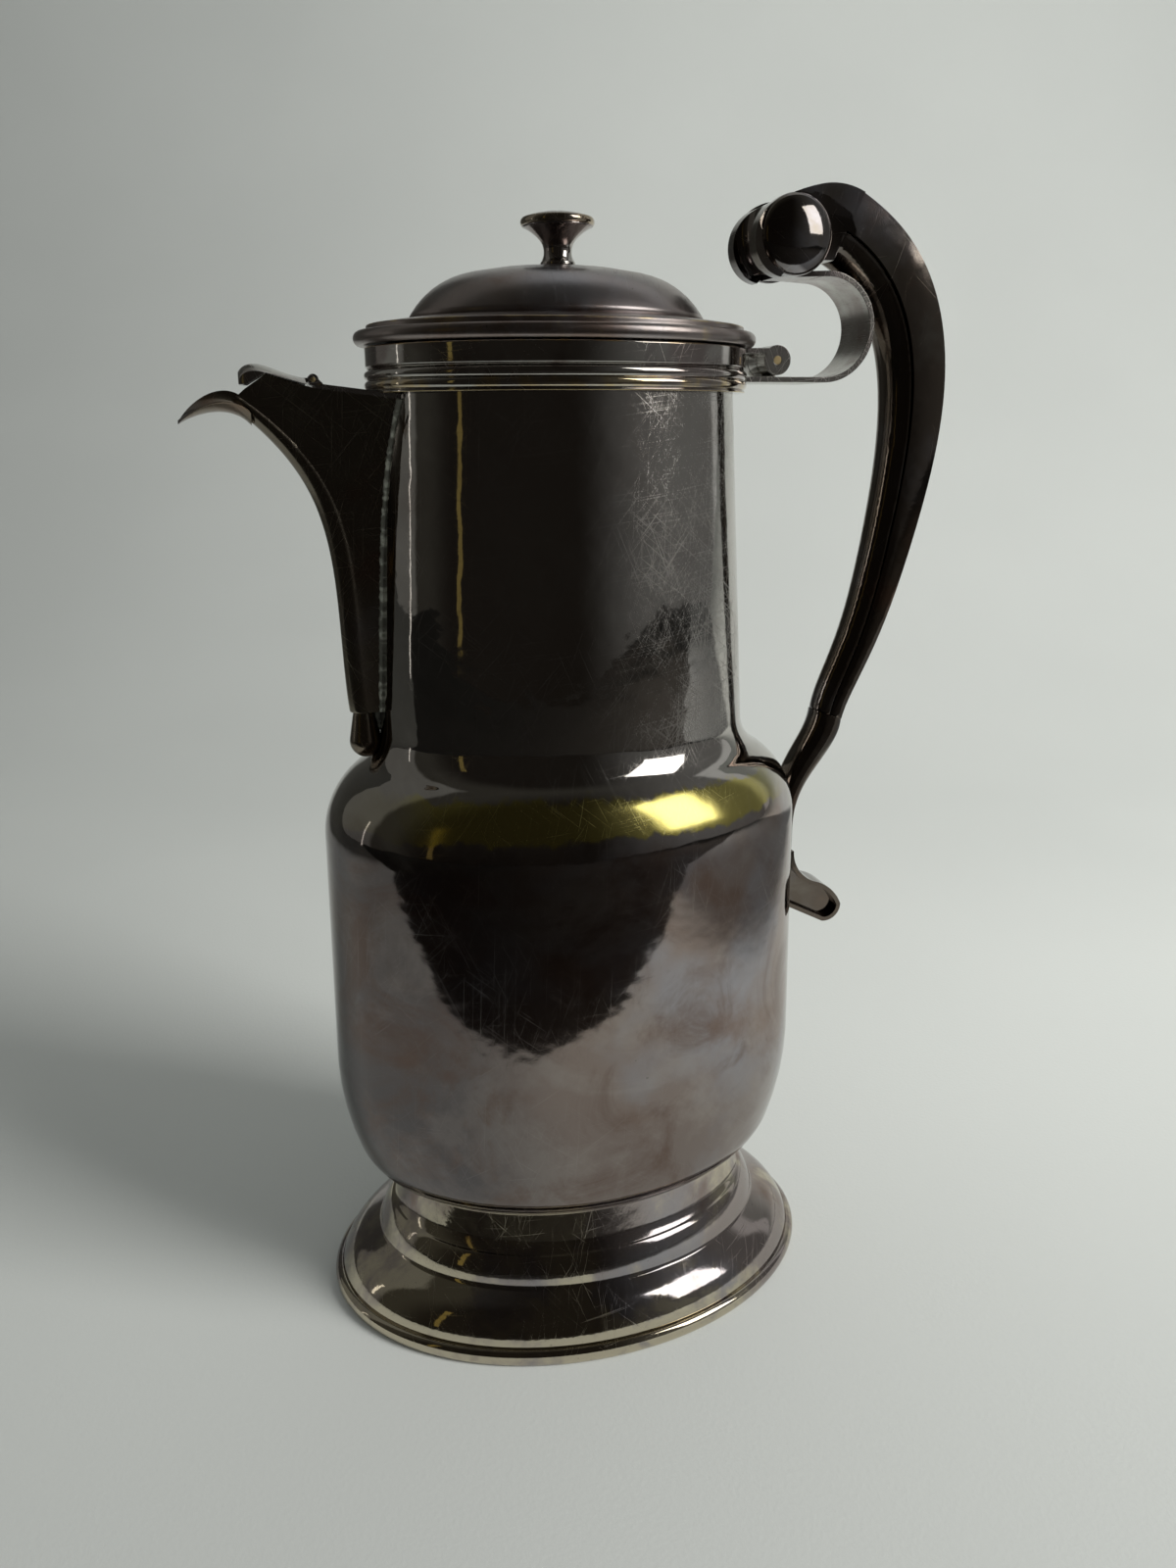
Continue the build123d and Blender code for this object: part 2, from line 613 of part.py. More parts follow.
# Knob, a trumpet stem with a domed cap soldered on it
knob_foot = lid_seat + DOME_HEIGHT + SOLDER_GAP
cap_foot = knob_foot + KNOB_STEM_HEIGHT
with BuildPart() as knob_stem:
    with BuildSketch(Plane.XZ):
        with BuildLine():
            flare = ThreePointArc(
                (KNOB_BASE_RADIUS, knob_foot + KNOB_BASE_EDGE),
                (KNOB_WAIST_RADIUS, knob_foot + KNOB_STEM_HEIGHT * KNOB_WAIST_SHARE),
                (KNOB_WAIST_RADIUS + KNOB_FLARE, knob_foot + KNOB_STEM_HEIGHT * KNOB_FLARE_SHARE),
            )
            lip = TangentArc([flare @ 1, (KNOB_RADIUS - KNOB_EDGE_ROUND, cap_foot)], tangent=flare % 1)
            Polyline(lip @ 1, (0, cap_foot), (0, knob_foot), (KNOB_BASE_RADIUS, knob_foot), flare @ 0)
        make_face()
    revolve(axis=Axis.Z)
knob_stem.part.label = "knob_stem"
export_step(knob_stem.part, "parts/knob_stem.step")

with BuildPart() as knob_cap:
    with BuildSketch(Plane.XZ):
        with BuildLine():
            edge = ThreePointArc(
                (KNOB_RADIUS - KNOB_EDGE_ROUND, cap_foot),
                (KNOB_RADIUS, cap_foot + KNOB_EDGE_HEIGHT / 2),
                (KNOB_RADIUS - KNOB_EDGE_ROUND, cap_foot + KNOB_EDGE_HEIGHT),
            )
            top = TangentArc([(0, cap_foot + KNOB_CAP_HEIGHT), edge @ 1], tangent=(1, 0))
            Polyline(top @ 0, (0, cap_foot), edge @ 0)
        make_face()
    revolve(axis=Axis.Z)
knob_cap.part.label = "knob_cap"
export_step(knob_cap.part, "parts/knob_cap.step")

# Lid leaf of the hinge, a plate under the rim that wraps two knuckles
collar_block = oval_disc(BAND_RADIUS + LEAF_CLEARANCE, REED_FOOT, MOUTH_HEIGHT + COLLAR_DROP)
middle_space = KNUCKLE_MIDDLE + 2 * KNUCKLE_GAP
with BuildPart() as lid_leaf:
    with BuildSketch(Plane.XZ.offset(-HINGE_WIDTH / 2)):
        with Locations((HINGE_X, HINGE_Z)):
            Circle(KNUCKLE_RADIUS)
        with BuildLine():
            Polyline(
                (HINGE_X, lid_foot),
                (LID_STEP_RADIUS - LEAF_LAP, lid_foot),
                (LID_STEP_RADIUS - LEAF_LAP, lid_foot - LEAF_SHEET),
                (HINGE_X, lid_foot - LEAF_SHEET),
                close=True,
            )
        make_face()
    extrude(amount=HINGE_WIDTH)
    with BuildSketch(Plane.XZ.offset(-HINGE_WIDTH / 2)):
        with Locations((HINGE_X, HINGE_Z)):
            Circle(PIN_RADIUS + PIN_CLEARANCE)
    extrude(amount=HINGE_WIDTH, mode=Mode.SUBTRACT)
    add(collar_block, mode=Mode.SUBTRACT)
    with Locations((HINGE_X, 0, HINGE_Z)):
        Box(2 * (KNUCKLE_RADIUS + LEAF_SLOT_SIDE), middle_space, 4 * KNUCKLE_RADIUS, mode=Mode.SUBTRACT)
lid_leaf.part.label = "lid_leaf"
export_step(lid_leaf.part, "parts/lid_leaf.step")

# Scroll strap, one flat ribbon from the mouth band, under the hinge and up in a C to the handle's head
strap_low = HINGE_Z - KNUCKLE_RADIUS - STRAP_BELOW_KNUCKLE - STRAP_SHEET
strap_top = strap_low + STRAP_RISE
with BuildPart() as scroll_strap:
    with BuildSketch(Plane.XZ.offset(-STRAP_WIDTH / 2)):
        with BuildLine():
            turn = ThreePointArc(
                (STRAP_TURN_X, strap_low),
                (STRAP_TURN_X + STRAP_RISE / 2, (strap_low + strap_top) / 2),
                (STRAP_TURN_X, strap_top),
            )
            Line((BAND_RADIUS - STRAP_LAP, strap_low), turn @ 0)
            Line(turn @ 1, (STRAP_END_X, strap_top))
            inner = ThreePointArc(
                (STRAP_TURN_X, strap_low + STRAP_SHEET),
                (STRAP_TURN_X + STRAP_RISE / 2 - STRAP_SHEET, (strap_low + strap_top) / 2),
                (STRAP_TURN_X, strap_top - STRAP_SHEET),
            )
            Line((BAND_RADIUS - STRAP_LAP, strap_low + STRAP_SHEET), inner @ 0)
            Line(inner @ 1, (STRAP_END_X, strap_top - STRAP_SHEET))
            Line((STRAP_END_X, strap_top - STRAP_SHEET), (STRAP_END_X, strap_top))
            Line((BAND_RADIUS - STRAP_LAP, strap_low + STRAP_SHEET), (BAND_RADIUS - STRAP_LAP, strap_low))
        make_face()
    extrude(amount=STRAP_WIDTH)
    add(oval_disc(REED_RADIUS + SOLDER_GAP, REED_FOOT - COLLAR_DROP, MOUTH_HEIGHT), mode=Mode.SUBTRACT)
    for side in (-1, 1):
        with BuildSketch(Plane.XY.offset(strap_top)):
            with BuildLine():
                Polyline(
                    (STRAP_TURN_X, side * STRAP_WIDTH),
                    (STRAP_TURN_X, side * STRAP_WIDTH / 2),
                    (BLOCK_X, side * STRAP_END_WIDTH / 2),
                    (STRAP_END_X - STRAP_SHEET, side * STRAP_END_WIDTH / 2),
                    (STRAP_END_X - STRAP_SHEET, side * STRAP_WIDTH),
                    close=True,
                )
            make_face()
        extrude(amount=-STRAP_RISE / 2, mode=Mode.SUBTRACT)
scroll_strap.part.label = "scroll_strap"
export_step(scroll_strap.part, "parts/scroll_strap.step")

# Fixed knuckle of the hinge, standing on the strap
with BuildPart() as hinge_knuckle:
    with BuildSketch(Plane.XZ.offset(-KNUCKLE_MIDDLE / 2)):
        with Locations((HINGE_X, HINGE_Z)):
            Circle(KNUCKLE_RADIUS)
        with Locations((HINGE_X, (HINGE_Z + strap_low + STRAP_SHEET) / 2)):
            Rectangle(KNUCKLE_WEB, HINGE_Z - strap_low - STRAP_SHEET)
        with Locations((HINGE_X, HINGE_Z)):
            Circle(PIN_RADIUS + PIN_CLEARANCE, mode=Mode.SUBTRACT)
    extrude(amount=KNUCKLE_MIDDLE)
hinge_knuckle.part.label = "hinge_knuckle"
export_step(hinge_knuckle.part, "parts/hinge_knuckle.step")

# Hinge pin
with BuildPart() as hinge_pin:
    with BuildSketch(Plane.XZ.offset(-HINGE_WIDTH / 2)):
        with Locations((HINGE_X, HINGE_Z)):
            Circle(PIN_RADIUS)
    extrude(amount=HINGE_WIDTH)
hinge_pin.part.label = "hinge_pin"
export_step(hinge_pin.part, "parts/hinge_pin.step")

# Centreline of the handle's seam, from the head down to the knee
handle_path = Spline(
    (HANDLE_TOP_X, 0, HANDLE_TOP_Z),
    (HANDLE_SHOULDER_X, 0, HANDLE_SHOULDER_Z),
    (HANDLE_OUT_X, 0, HANDLE_OUT_Z),
    (HANDLE_LOWER_X, 0, HANDLE_LOWER_Z),
    (HANDLE_KNEE_X, 0, HANDLE_KNEE_Z),
    tangents=((cos(radians(HANDLE_TOP_SLOPE)), 0, -sin(radians(HANDLE_TOP_SLOPE))),
              (-sin(radians(HANDLE_KNEE_SLOPE)), 0, -cos(radians(HANDLE_KNEE_SLOPE)))),
)


def handle_plane(share):
    """Plane square to the handle at a share of its length, with x pointing outwards."""
    run = handle_path.tangent_at(share)
    return Plane(origin=handle_path.position_at(share), x_dir=(-run.Z, 0, run.X), z_dir=run)


def taper(top, knee, share):
    """Size that shrinks from the head to the knee."""
    return top + (knee - top) * share


# Head and outer strap of the handle, with hollow cheeks and a grooved front
strap_seat = strap_top + BLOCK_HEIGHT
head_plane = handle_plane(0)
head_back = head_plane.from_local_coords((BACK_DEPTH_TOP, 0, 0))
seat_end = HANDLE_TOP_X - (HANDLE_TOP_Z - strap_seat) * tan(radians(HANDLE_TOP_SLOPE)) - SEAM_GAP
half_top = HANDLE_WIDTH_TOP / 2 + HEAD_PROUD


def head_outline():
    """Side view of the volute, closed along the end of the two straps."""
    crest_point = (HANDLE_TOP_X - HEAD_CREST_BACK, HANDLE_TOP_Z + HEAD_CREST)
    brow_point = (HANDLE_TOP_X - HEAD_BROW_BACK, HANDLE_TOP_Z + HEAD_BROW)
    nose_point = (HANDLE_TOP_X - HEAD_REACH, HANDLE_TOP_Z - HEAD_NOSE_DROP)
    chin_point = (HANDLE_TOP_X - HEAD_CHIN_BACK, strap_top - HEAD_CHIN_DROP)
    run = handle_path.tangent_at(0)
    crown = TangentArc([(head_back.X, head_back.Z), crest_point], tangent=(-run.X, -run.Z))
    brow = TangentArc([crown @ 1, brow_point], tangent=crown % 1)
    nose = TangentArc([brow @ 1, nose_point], tangent=brow % 1)
    chin = TangentArc([nose @ 1, chin_point], tangent=nose % 1)
    Polyline(
        chin @ 1,
        (BLOCK_X - BLOCK_LENGTH / 2 - HEAD_SEAT_GAP, strap_seat),
        (seat_end, strap_seat),
        (HANDLE_TOP_X, HANDLE_TOP_Z),
        crown @ 0,
    )


def dish_block(side):
    """Egg that hollows a cheek of the head and fades out into the side of the handle."""
    girth = (DISH_TALL**2 + DISH_DEPTH**2) / (2 * DISH_DEPTH)
    length = girth * DISH_LONG / DISH_TALL
    with BuildPart(mode=Mode.PRIVATE) as block:
        with BuildSketch():
            Ellipse(length, girth)
            Rectangle(2 * length, girth, align=(Align.CENTER, Align.MIN), mode=Mode.INTERSECT)
        revolve(axis=Axis.X)
    middle = (HANDLE_TOP_X - DISH_BACK, side * (half_top + girth - DISH_DEPTH), HANDLE_TOP_Z + DISH_RISE)
    return Location(middle) * Rotation(0, DISH_TILT, 0) * block.part


with BuildPart() as handle_back:
    for station in range(HANDLE_STATIONS):
        share = station / (HANDLE_STATIONS - 1)
        half = taper(HANDLE_WIDTH_TOP, HANDLE_WIDTH_KNEE, share) / 2
        depth = taper(BACK_DEPTH_TOP, BACK_DEPTH_KNEE, share) + BACK_SWELL * sin(pi * share) * (1 - share)
        edge = depth - taper(BACK_CROWN_TOP, BACK_CROWN_KNEE, share)
        flat = half - taper(BACK_BULGE_TOP, BACK_BULGE_KNEE, share)
        with BuildSketch(handle_plane(share)):
            with BuildLine():
                seam = Line((0, -flat), (0, flat))
                far = ThreePointArc(seam @ 1, (edge / 2, half), (edge, flat))
                crest = ThreePointArc(far @ 1, (depth, 0), (edge, -flat))
                ThreePointArc(crest @ 1, (edge / 2, -half), seam @ 0)
            make_face()
    loft()
    with BuildSketch(Plane.XZ.offset(-half_top)):
        with BuildLine():
            head_outline()
        make_face()
    extrude(amount=2 * half_top)
    for side in (-1, 1):
        add(dish_block(side), mode=Mode.SUBTRACT)
    cheek = half_top - DISH_DEPTH
    with BuildSketch(Plane.XY.offset(BOSS_Z)):
        with BuildLine():
            near = TangentArc([(BOSS_X, -cheek - BOSS_RISE), (BOSS_X + BOSS_RADIUS, -cheek)], tangent=(1, 0))
            far = TangentArc([(BOSS_X, cheek + BOSS_RISE), (BOSS_X + BOSS_RADIUS, cheek)], tangent=(1, 0))
            Line(near @ 1, far @ 1)
            Line(far @ 0, near @ 0)
        make_face()
    revolve(axis=Axis((BOSS_X, 0, BOSS_Z), (0, 1, 0)))
    groove_plane = Plane(
        origin=(GROOVE_X, 0, GROOVE_Z),
        x_dir=(-cos(radians(GROOVE_LOWER)), 0, -sin(radians(GROOVE_LOWER))),
        z_dir=(-sin(radians(GROOVE_LOWER)), 0, cos(radians(GROOVE_LOWER))),
    )
    with BuildSketch(groove_plane):
        with Locations((GROOVE_REACH, 0)):
            Ellipse(GROOVE_DEPTH, GROOVE_WIDTH / 2)
    revolve(
        axis=Axis((GROOVE_X, 0, GROOVE_Z), (0, 1, 0)),
        revolution_arc=GROOVE_LOWER + GROOVE_UPPER,
        mode=Mode.SUBTRACT,
    )
    with BuildSketch(Plane.XY.offset(strap_top)):
        with Locations((HANDLE_TOP_X - HEAD_REACH / 2, 0)):
            Rectangle(2 * HEAD_REACH, STRAP_END_WIDTH + 2 * HEAD_SLOT_GAP)
    extrude(amount=-STRAP_RISE / 2, mode=Mode.SUBTRACT)
handle_back.part.label = "handle_back"
export_step(handle_back.part, "parts/handle_back.step")

# Inner strap of the handle, a half round soldered to the outer one
with BuildPart() as handle_front:
    for station in range(HANDLE_STATIONS):
        share = station / (HANDLE_STATIONS - 1)
        half = taper(HANDLE_WIDTH_TOP, HANDLE_WIDTH_KNEE, share) / 2 * FRONT_WIDTH_SHARE
        depth = taper(FRONT_DEPTH_KNEE, FRONT_DEPTH_TOP, (1 - share) ** 2)
        round_depth = -SEAM_GAP - depth * FRONT_ROUND_DEPTH
        with BuildSketch(handle_plane(share)):
            with BuildLine():
                seam = Line((-SEAM_GAP, -half), (-SEAM_GAP, half))
                ThreePointArc(seam @ 1, (round_depth, half * FRONT_ROUND_WIDTH), (-depth, 0))
                ThreePointArc((-depth, 0), (round_depth, -half * FRONT_ROUND_WIDTH), seam @ 0)
            make_face()
    loft()
handle_front.part.label = "handle_front"
export_step(handle_front.part, "parts/handle_front.step")

# Lower scroll of the handle, soldered to the body and ending in a hollow curled tail
knee = handle_plane(1).from_local_coords(((BACK_DEPTH_KNEE - FRONT_DEPTH_KNEE) / 2, 0, 0))
scroll_top = (knee.X, knee.Z)
scroll_swell = (SCROLL_SWELL_X, SCROLL_SWELL_Z)
scroll_middle = (SCROLL_MIDDLE_X, SCROLL_MIDDLE_Z)
scroll_thin = (SCROLL_THIN_OUT - SCROLL_THIN, SCROLL_THIN_Z)
scroll_end = (SCROLL_THIN_OUT - SCROLL_THIN, TAIL_ROOT_Z)
scroll_places = (scroll_top, scroll_swell, scroll_middle, scroll_thin, scroll_end)
scroll_points = [Vector(x, 0, z) for x, z in scroll_places]
knee_half = (BACK_DEPTH_KNEE + FRONT_DEPTH_KNEE) / 2
scroll_halves = [knee_half, SCROLL_SWELL, SCROLL_MIDDLE, SCROLL_THIN, SCROLL_THIN]
scroll_path = Spline(*scroll_points, tangents=(handle_path.tangent_at(1), (0, 0, -1)))


def tail_outline():
    """Side view of the curled tail, from the thin part of the scroll round to the body."""
    fall = TangentArc([(SCROLL_THIN_OUT, TAIL_ROOT_Z), (TAIL_TOP_X, TAIL_TOP_Z)], tangent=(0, -1))
    back = TangentArc([fall @ 1, (TAIL_REACH_X, TAIL_REACH_Z)], tangent=fall % 1)
    tip = ThreePointArc(
        back @ 1,
        (TAIL_REACH_X - TAIL_TIP_BACK, TAIL_FOOT_Z + TAIL_TIP_RISE),
        (TAIL_FOOT_X, TAIL_FOOT_Z),
    )
    Polyline(
        tip @ 1,
        (BODY_RADIUS, TAIL_HEEL_Z),
        (BODY_RADIUS - 2 * WALL, TAIL_HEEL_Z),
        (BODY_RADIUS - 2 * WALL, TAIL_ROOT_Z),
        fall @ 0,
    )


with BuildPart() as handle_scroll:
    for spot, half in zip(scroll_points, scroll_halves):
        run = scroll_path.tangent_at(spot)
        width = taper(SCROLL_TOP_WIDTH, SCROLL_WIDTH, scroll_path.param_at_point(spot))
        with BuildSketch(Plane(origin=spot, x_dir=(-run.Z, 0, run.X), z_dir=run)):
            RectangleRounded(2 * half, width, half * SCROLL_ROUNDING)
    loft()
    with BuildSketch(Plane.XZ.offset(-SCROLL_WIDTH / 2)):
        with BuildLine():
            tail_outline()
        make_face()
    extrude(amount=SCROLL_WIDTH)
    for side in (-1, 1):
        with BuildSketch(Plane.XZ.offset(side * SCROLL_WIDTH / 2)):
            with BuildLine():
                tail_outline()
            make_face()
            offset(amount=-TAIL_RIM, mode=Mode.REPLACE)
        extrude(amount=-side * TAIL_RECESS, mode=Mode.SUBTRACT)
    add(body_block(SOLDER_GAP), mode=Mode.SUBTRACT)
handle_scroll.part.label = "handle_scroll"
export_step(handle_scroll.part, "parts/handle_scroll.step")

# Strap block between the scroll strap and the head
with BuildPart() as strap_block:
    with BuildSketch(Plane.XY.offset(strap_top)):
        with Locations((BLOCK_X, 0)):
            Rectangle(BLOCK_LENGTH, BLOCK_WIDTH)
    extrude(amount=BLOCK_HEIGHT)
strap_block.part.label = "strap_block"
export_step(strap_block.part, "parts/strap_block.step")

# Guide lines of the spout: the keel in side view, and the top edge of its walls
keel_line = Spline(
    (-SPOUT_FOOT_X, 0, SPOUT_FOOT),
    (-SPOUT_LOW_X, 0, SPOUT_LOW_Z),
    (-SPOUT_BEND_X, 0, SPOUT_BEND_Z),
    (-SPOUT_FALL_X, 0, SPOUT_FALL_Z),
    (-SPOUT_END_X, 0, SPOUT_TOP),
)


def keel_half(height):
    """Half width of the spout where it meets the neck."""
    share = (height - SPOUT_FOOT) / (SPOUT_TOP - SPOUT_FOOT)
    return SPOUT_FOOT_HALF + (SPOUT_TOP_HALF - SPOUT_FOOT_HALF) * share**SPOUT_FLARE_POWER


def keel_block(sheet, first):
    """Solid keel inside the spout's outside by a sheet, from a share of its height upwards."""
    round_radius = KEEL_ROUND - sheet
    root = -SPOUT_ROOT_X + sheet
    with BuildPart(mode=Mode.PRIVATE) as block:
        for station in range(KEEL_STATIONS):
            share = first + (1 - first) * station / (KEEL_STATIONS - 1)
            run = keel_line.tangent_at(share)
            tip = keel_line.position_at(share) + Vector(run.Z, 0, -run.X) * sheet
            middle = tip.X + round_radius
            half = keel_half(tip.Z) - sheet
            touch_x = middle + round_radius * cos(radians(KEEL_WRAP))
            touch_y = round_radius * sin(radians(KEEL_WRAP))
            flank_x = (touch_x + root) / 2
            flank_y = (touch_y + half) / 2 - FLANK_HOLLOW * (root - touch_x)
            with BuildSketch(Plane.XY.offset(tip.Z)):
                with BuildLine():
                    near = ThreePointArc((root, -half), (flank_x, -flank_y), (touch_x, -touch_y))
                    nose = ThreePointArc(near @ 1, (tip.X, 0), (touch_x, touch_y))
                    far = ThreePointArc(nose @ 1, (flank_x, flank_y), (root, half))
                    Line(far @ 1, near @ 0)
                make_face()
        loft()
    return block.part


def side_block(points, half_width):
    """Prism across the spout from a side view outline."""
    with BuildPart(mode=Mode.PRIVATE) as block:
        with BuildSketch(Plane.XZ.offset(-half_width)):
            with BuildLine():
                Polyline(*points, close=True)
            make_face()
        extrude(amount=2 * half_width)
    return block.part


collar_gap = oval_disc(REED_RADIUS + SOLDER_GAP, REED_FOOT - SOLDER_GAP, MOUTH_HEIGHT)
neck_gap = body_block(SOLDER_GAP)
wall_slope = (SPOUT_WALL_Z - SPOUT_ROOT_Z) / (SPOUT_WALL_X - NECK_FOOT_RADIUS)
roof_root = SPOUT_ROOT_Z - wall_slope * (NECK_FOOT_RADIUS - SPOUT_ROOT_X)
keel_outside = keel_block(0, 0)
mouth_reach = 2 * (SPOUT_END_X - SPOUT_MOUTH_X)
mouth_low = (-SPOUT_MOUTH_X - mouth_reach, SPOUT_MOUTH_Z - mouth_reach * tan(radians(SPOUT_MOUTH_SLOPE)))

# Spout, a hollow keel with a drooping lip
with BuildPart() as spout:
    add(keel_outside)
    add(keel_block(SPOUT_SHEET, SPOUT_SEAL), mode=Mode.SUBTRACT)
    above = [
        (0, roof_root),
        (-SPOUT_ROOT_X, roof_root),
        (-SPOUT_WALL_X, SPOUT_WALL_Z),
        (-SPOUT_PEAK_X, SPOUT_PEAK_Z),
        (-SPOUT_MOUTH_X, SPOUT_MOUTH_Z),
        mouth_low,
        (mouth_low[0], 2 * SPOUT_TOP),
        (0, 2 * SPOUT_TOP),
    ]
    add(side_block(above, 2 * SPOUT_TOP_HALF), mode=Mode.SUBTRACT)
    add(neck_gap, mode=Mode.SUBTRACT)
    add(collar_gap, mode=Mode.SUBTRACT)
spout.part.label = "spout"
export_step(spout.part, "parts/spout.step")

# Drop ornament at the foot of the spout, resting on the shoulder
with BuildPart() as spout_drop:
    with BuildSketch(Plane((-DROP_X, 0, 0), x_dir=(1, 0, 0), z_dir=(0, -1, 0))):
        with BuildLine():
            widest = (DROP_RADIUS, DROP_FOOT_Z + DROP_WIDE_RISE)
            belly = TangentArc([(0, DROP_FOOT_Z), widest], tangent=(1, 0))
            rise = TangentArc([belly @ 1, (DROP_NECK_RADIUS, SPOUT_FOOT)], tangent=belly % 1)
            Polyline(rise @ 1, (0, SPOUT_FOOT), (0, DROP_FOOT_Z))
        make_face()
    revolve(axis=Axis((-DROP_X, 0, 0), (0, 0, 1)))
    add(neck_gap, mode=Mode.SUBTRACT)
spout_drop.part.label = "spout_drop"
export_step(spout_drop.part, "parts/spout_drop.step")

# Lip, a drooping leaf with turned up edges, soldered under the mouth
lip_stations = [
    (-LIP_ROOT_BACK, LIP_ROOT_DROP, LIP_ROOT_HALF, LIP_ROOT_RISE),
    (LIP_ARCH_OUT, LIP_ARCH_DROP, LIP_ARCH_HALF, LIP_ARCH_RISE),
    (LIP_FALL_OUT, LIP_FALL_DROP, LIP_FALL_HALF, LIP_FALL_RISE),
    (LIP_TIP_OUT, LIP_TIP_DROP, LIP_SHEET, LIP_SHEET / 4),
]
with BuildPart() as spout_lip:
    for out, drop, half, turn_up in lip_stations:
        place = (-SPOUT_MOUTH_X - out, 0, SPOUT_MOUTH_Z - drop)
        lean = (0, cos(radians(LIP_LEAN)), sin(radians(LIP_LEAN)))
        with BuildSketch(Plane(place, x_dir=lean, z_dir=(1, 0, 0))):
            with BuildLine():
                under = ThreePointArc((-half, turn_up), (0, 0), (half, turn_up))
                over = ThreePointArc(
                    (half - LIP_SHEET / 2, turn_up + LIP_SHEET / 4),
                    (0, LIP_SHEET),
                    (-half + LIP_SHEET / 2, turn_up + LIP_SHEET / 4),
                )
                Line(under @ 1, over @ 0)
                Line(over @ 1, under @ 0)
            make_face()
    loft()
    add(keel_outside, mode=Mode.SUBTRACT)
spout_lip.part.label = "spout_lip"
export_step(spout_lip.part, "parts/spout_lip.step")

# Roof plate over the root of the spout, with the two fixed knuckles of the flap
roof_run = SPOUT_WALL_Z - wall_slope * (SPOUT_WALL_X - ROOF_END_X)
roof_side = [
    (-SPOUT_ROOT_X, roof_root),
    (-ROOF_END_X, roof_run),
    (-ROOF_END_X, roof_run + ROOF_SHEET),
    (-SPOUT_ROOT_X, roof_root + ROOF_SHEET),
]
with BuildPart() as spout_roof:
    add(keel_outside)
    add(side_block(roof_side, 2 * SPOUT_TOP_HALF), mode=Mode.INTERSECT)
    with BuildSketch(Plane.XZ.offset(-FLAP_EARS_WIDTH / 2)):
        with BuildLine():
            Polyline(
                (-FLAP_PIN_X, FLAP_PIN_Z + FLAP_KNUCKLE_RADIUS),
                (-ROOF_END_X + FLAP_KNUCKLE_RADIUS, roof_run + ROOF_SHEET),
                (-ROOF_END_X + FLAP_KNUCKLE_RADIUS, roof_run),
                (-ROOF_END_X, roof_run),
                (-FLAP_PIN_X, FLAP_PIN_Z - FLAP_KNUCKLE_RADIUS),
                close=True,
            )
        make_face()
        with Locations((-FLAP_PIN_X, FLAP_PIN_Z)):
            Circle(FLAP_KNUCKLE_RADIUS)
            Circle(FLAP_PIN_RADIUS + PIN_CLEARANCE, mode=Mode.SUBTRACT)
    extrude(amount=FLAP_EARS_WIDTH)
    with Locations((-FLAP_PIN_X, 0, FLAP_PIN_Z)):
        knuckle_room = FLAP_KNUCKLE_WIDTH + 2 * FLAP_KNUCKLE_GAP
        Box(4 * FLAP_KNUCKLE_RADIUS, knuckle_room, 4 * FLAP_KNUCKLE_RADIUS, mode=Mode.SUBTRACT)
    add(neck_gap, mode=Mode.SUBTRACT)
    add(collar_gap, mode=Mode.SUBTRACT)
spout_roof.part.label = "spout_roof"
export_step(spout_roof.part, "parts/spout_roof.step")


def bonnet_block(sheet, rear, nose):
    """Solid arched bonnet inside the flap's outside by a sheet, between two places along the spout."""
    with BuildPart(mode=Mode.PRIVATE) as block:
        for out, half_width, rise in FLAP_RIDGE:
            share = out / FLAP_RIDGE[-1][0]
            half = half_width - sheet
            crown = FLAP_PIN_Z + rise - sheet
            low = FLAP_PIN_Z - FLAP_SIDE_DEPTH
            place = Plane((-rear - (nose - rear) * share, 0, 0), x_dir=(0, 1, 0), z_dir=(1, 0, 0))
            with BuildSketch(place):
                with BuildLine():
                    eaves = crown - FLAP_ARCH
                    side = Polyline((-half, eaves), (-half, low), (half, low), (half, eaves))
                    ThreePointArc(side @ 1, (0, crown), side @ 0)
                make_face()
        loft()
    return block.part


under_flap = [
    (-SPOUT_ROOT_X, SPOUT_WALL_Z + FLAP_GAP - wall_slope * (SPOUT_WALL_X - SPOUT_ROOT_X)),
    (-SPOUT_WALL_X, SPOUT_WALL_Z + FLAP_GAP),
    (-SPOUT_PEAK_X, SPOUT_PEAK_Z + FLAP_GAP),
    (-FLAP_NOSE_FOOT_X, FLAP_NOSE_FOOT_Z),
    (-SPOUT_END_X, FLAP_NOSE_FOOT_Z),
    (-SPOUT_END_X, SPOUT_FOOT),
    (-SPOUT_ROOT_X, SPOUT_FOOT),
]
with BuildPart() as spout_flap:
    add(bonnet_block(0, FLAP_REAR_X, FLAP_NOSE_X))
    add(bonnet_block(FLAP_SHEET, FLAP_REAR_X + FLAP_SHEET, FLAP_NOSE_X - FLAP_SHEET), mode=Mode.SUBTRACT)
    add(side_block(under_flap, 2 * SPOUT_TOP_HALF), mode=Mode.SUBTRACT)
    with BuildSketch(Plane.XZ.offset(-FLAP_KNUCKLE_WIDTH / 2)):
        with BuildLine():
            Polyline(
                (-FLAP_PIN_X, FLAP_PIN_Z + FLAP_SHEET / 2),
                (-FLAP_REAR_X - FLAP_SHEET, FLAP_PIN_Z + FLAP_SHEET / 2),
                (-FLAP_REAR_X - FLAP_SHEET, FLAP_PIN_Z - FLAP_SHEET / 2),
                (-FLAP_PIN_X, FLAP_PIN_Z - FLAP_SHEET / 2),
                close=True,
            )
        make_face()
        with Locations((-FLAP_PIN_X, FLAP_PIN_Z)):
            Circle(FLAP_KNUCKLE_RADIUS)
            Circle(FLAP_PIN_RADIUS + PIN_CLEARANCE, mode=Mode.SUBTRACT)
    extrude(amount=FLAP_KNUCKLE_WIDTH)
spout_flap.part.label = "spout_flap"
export_step(spout_flap.part, "parts/spout_flap.step")

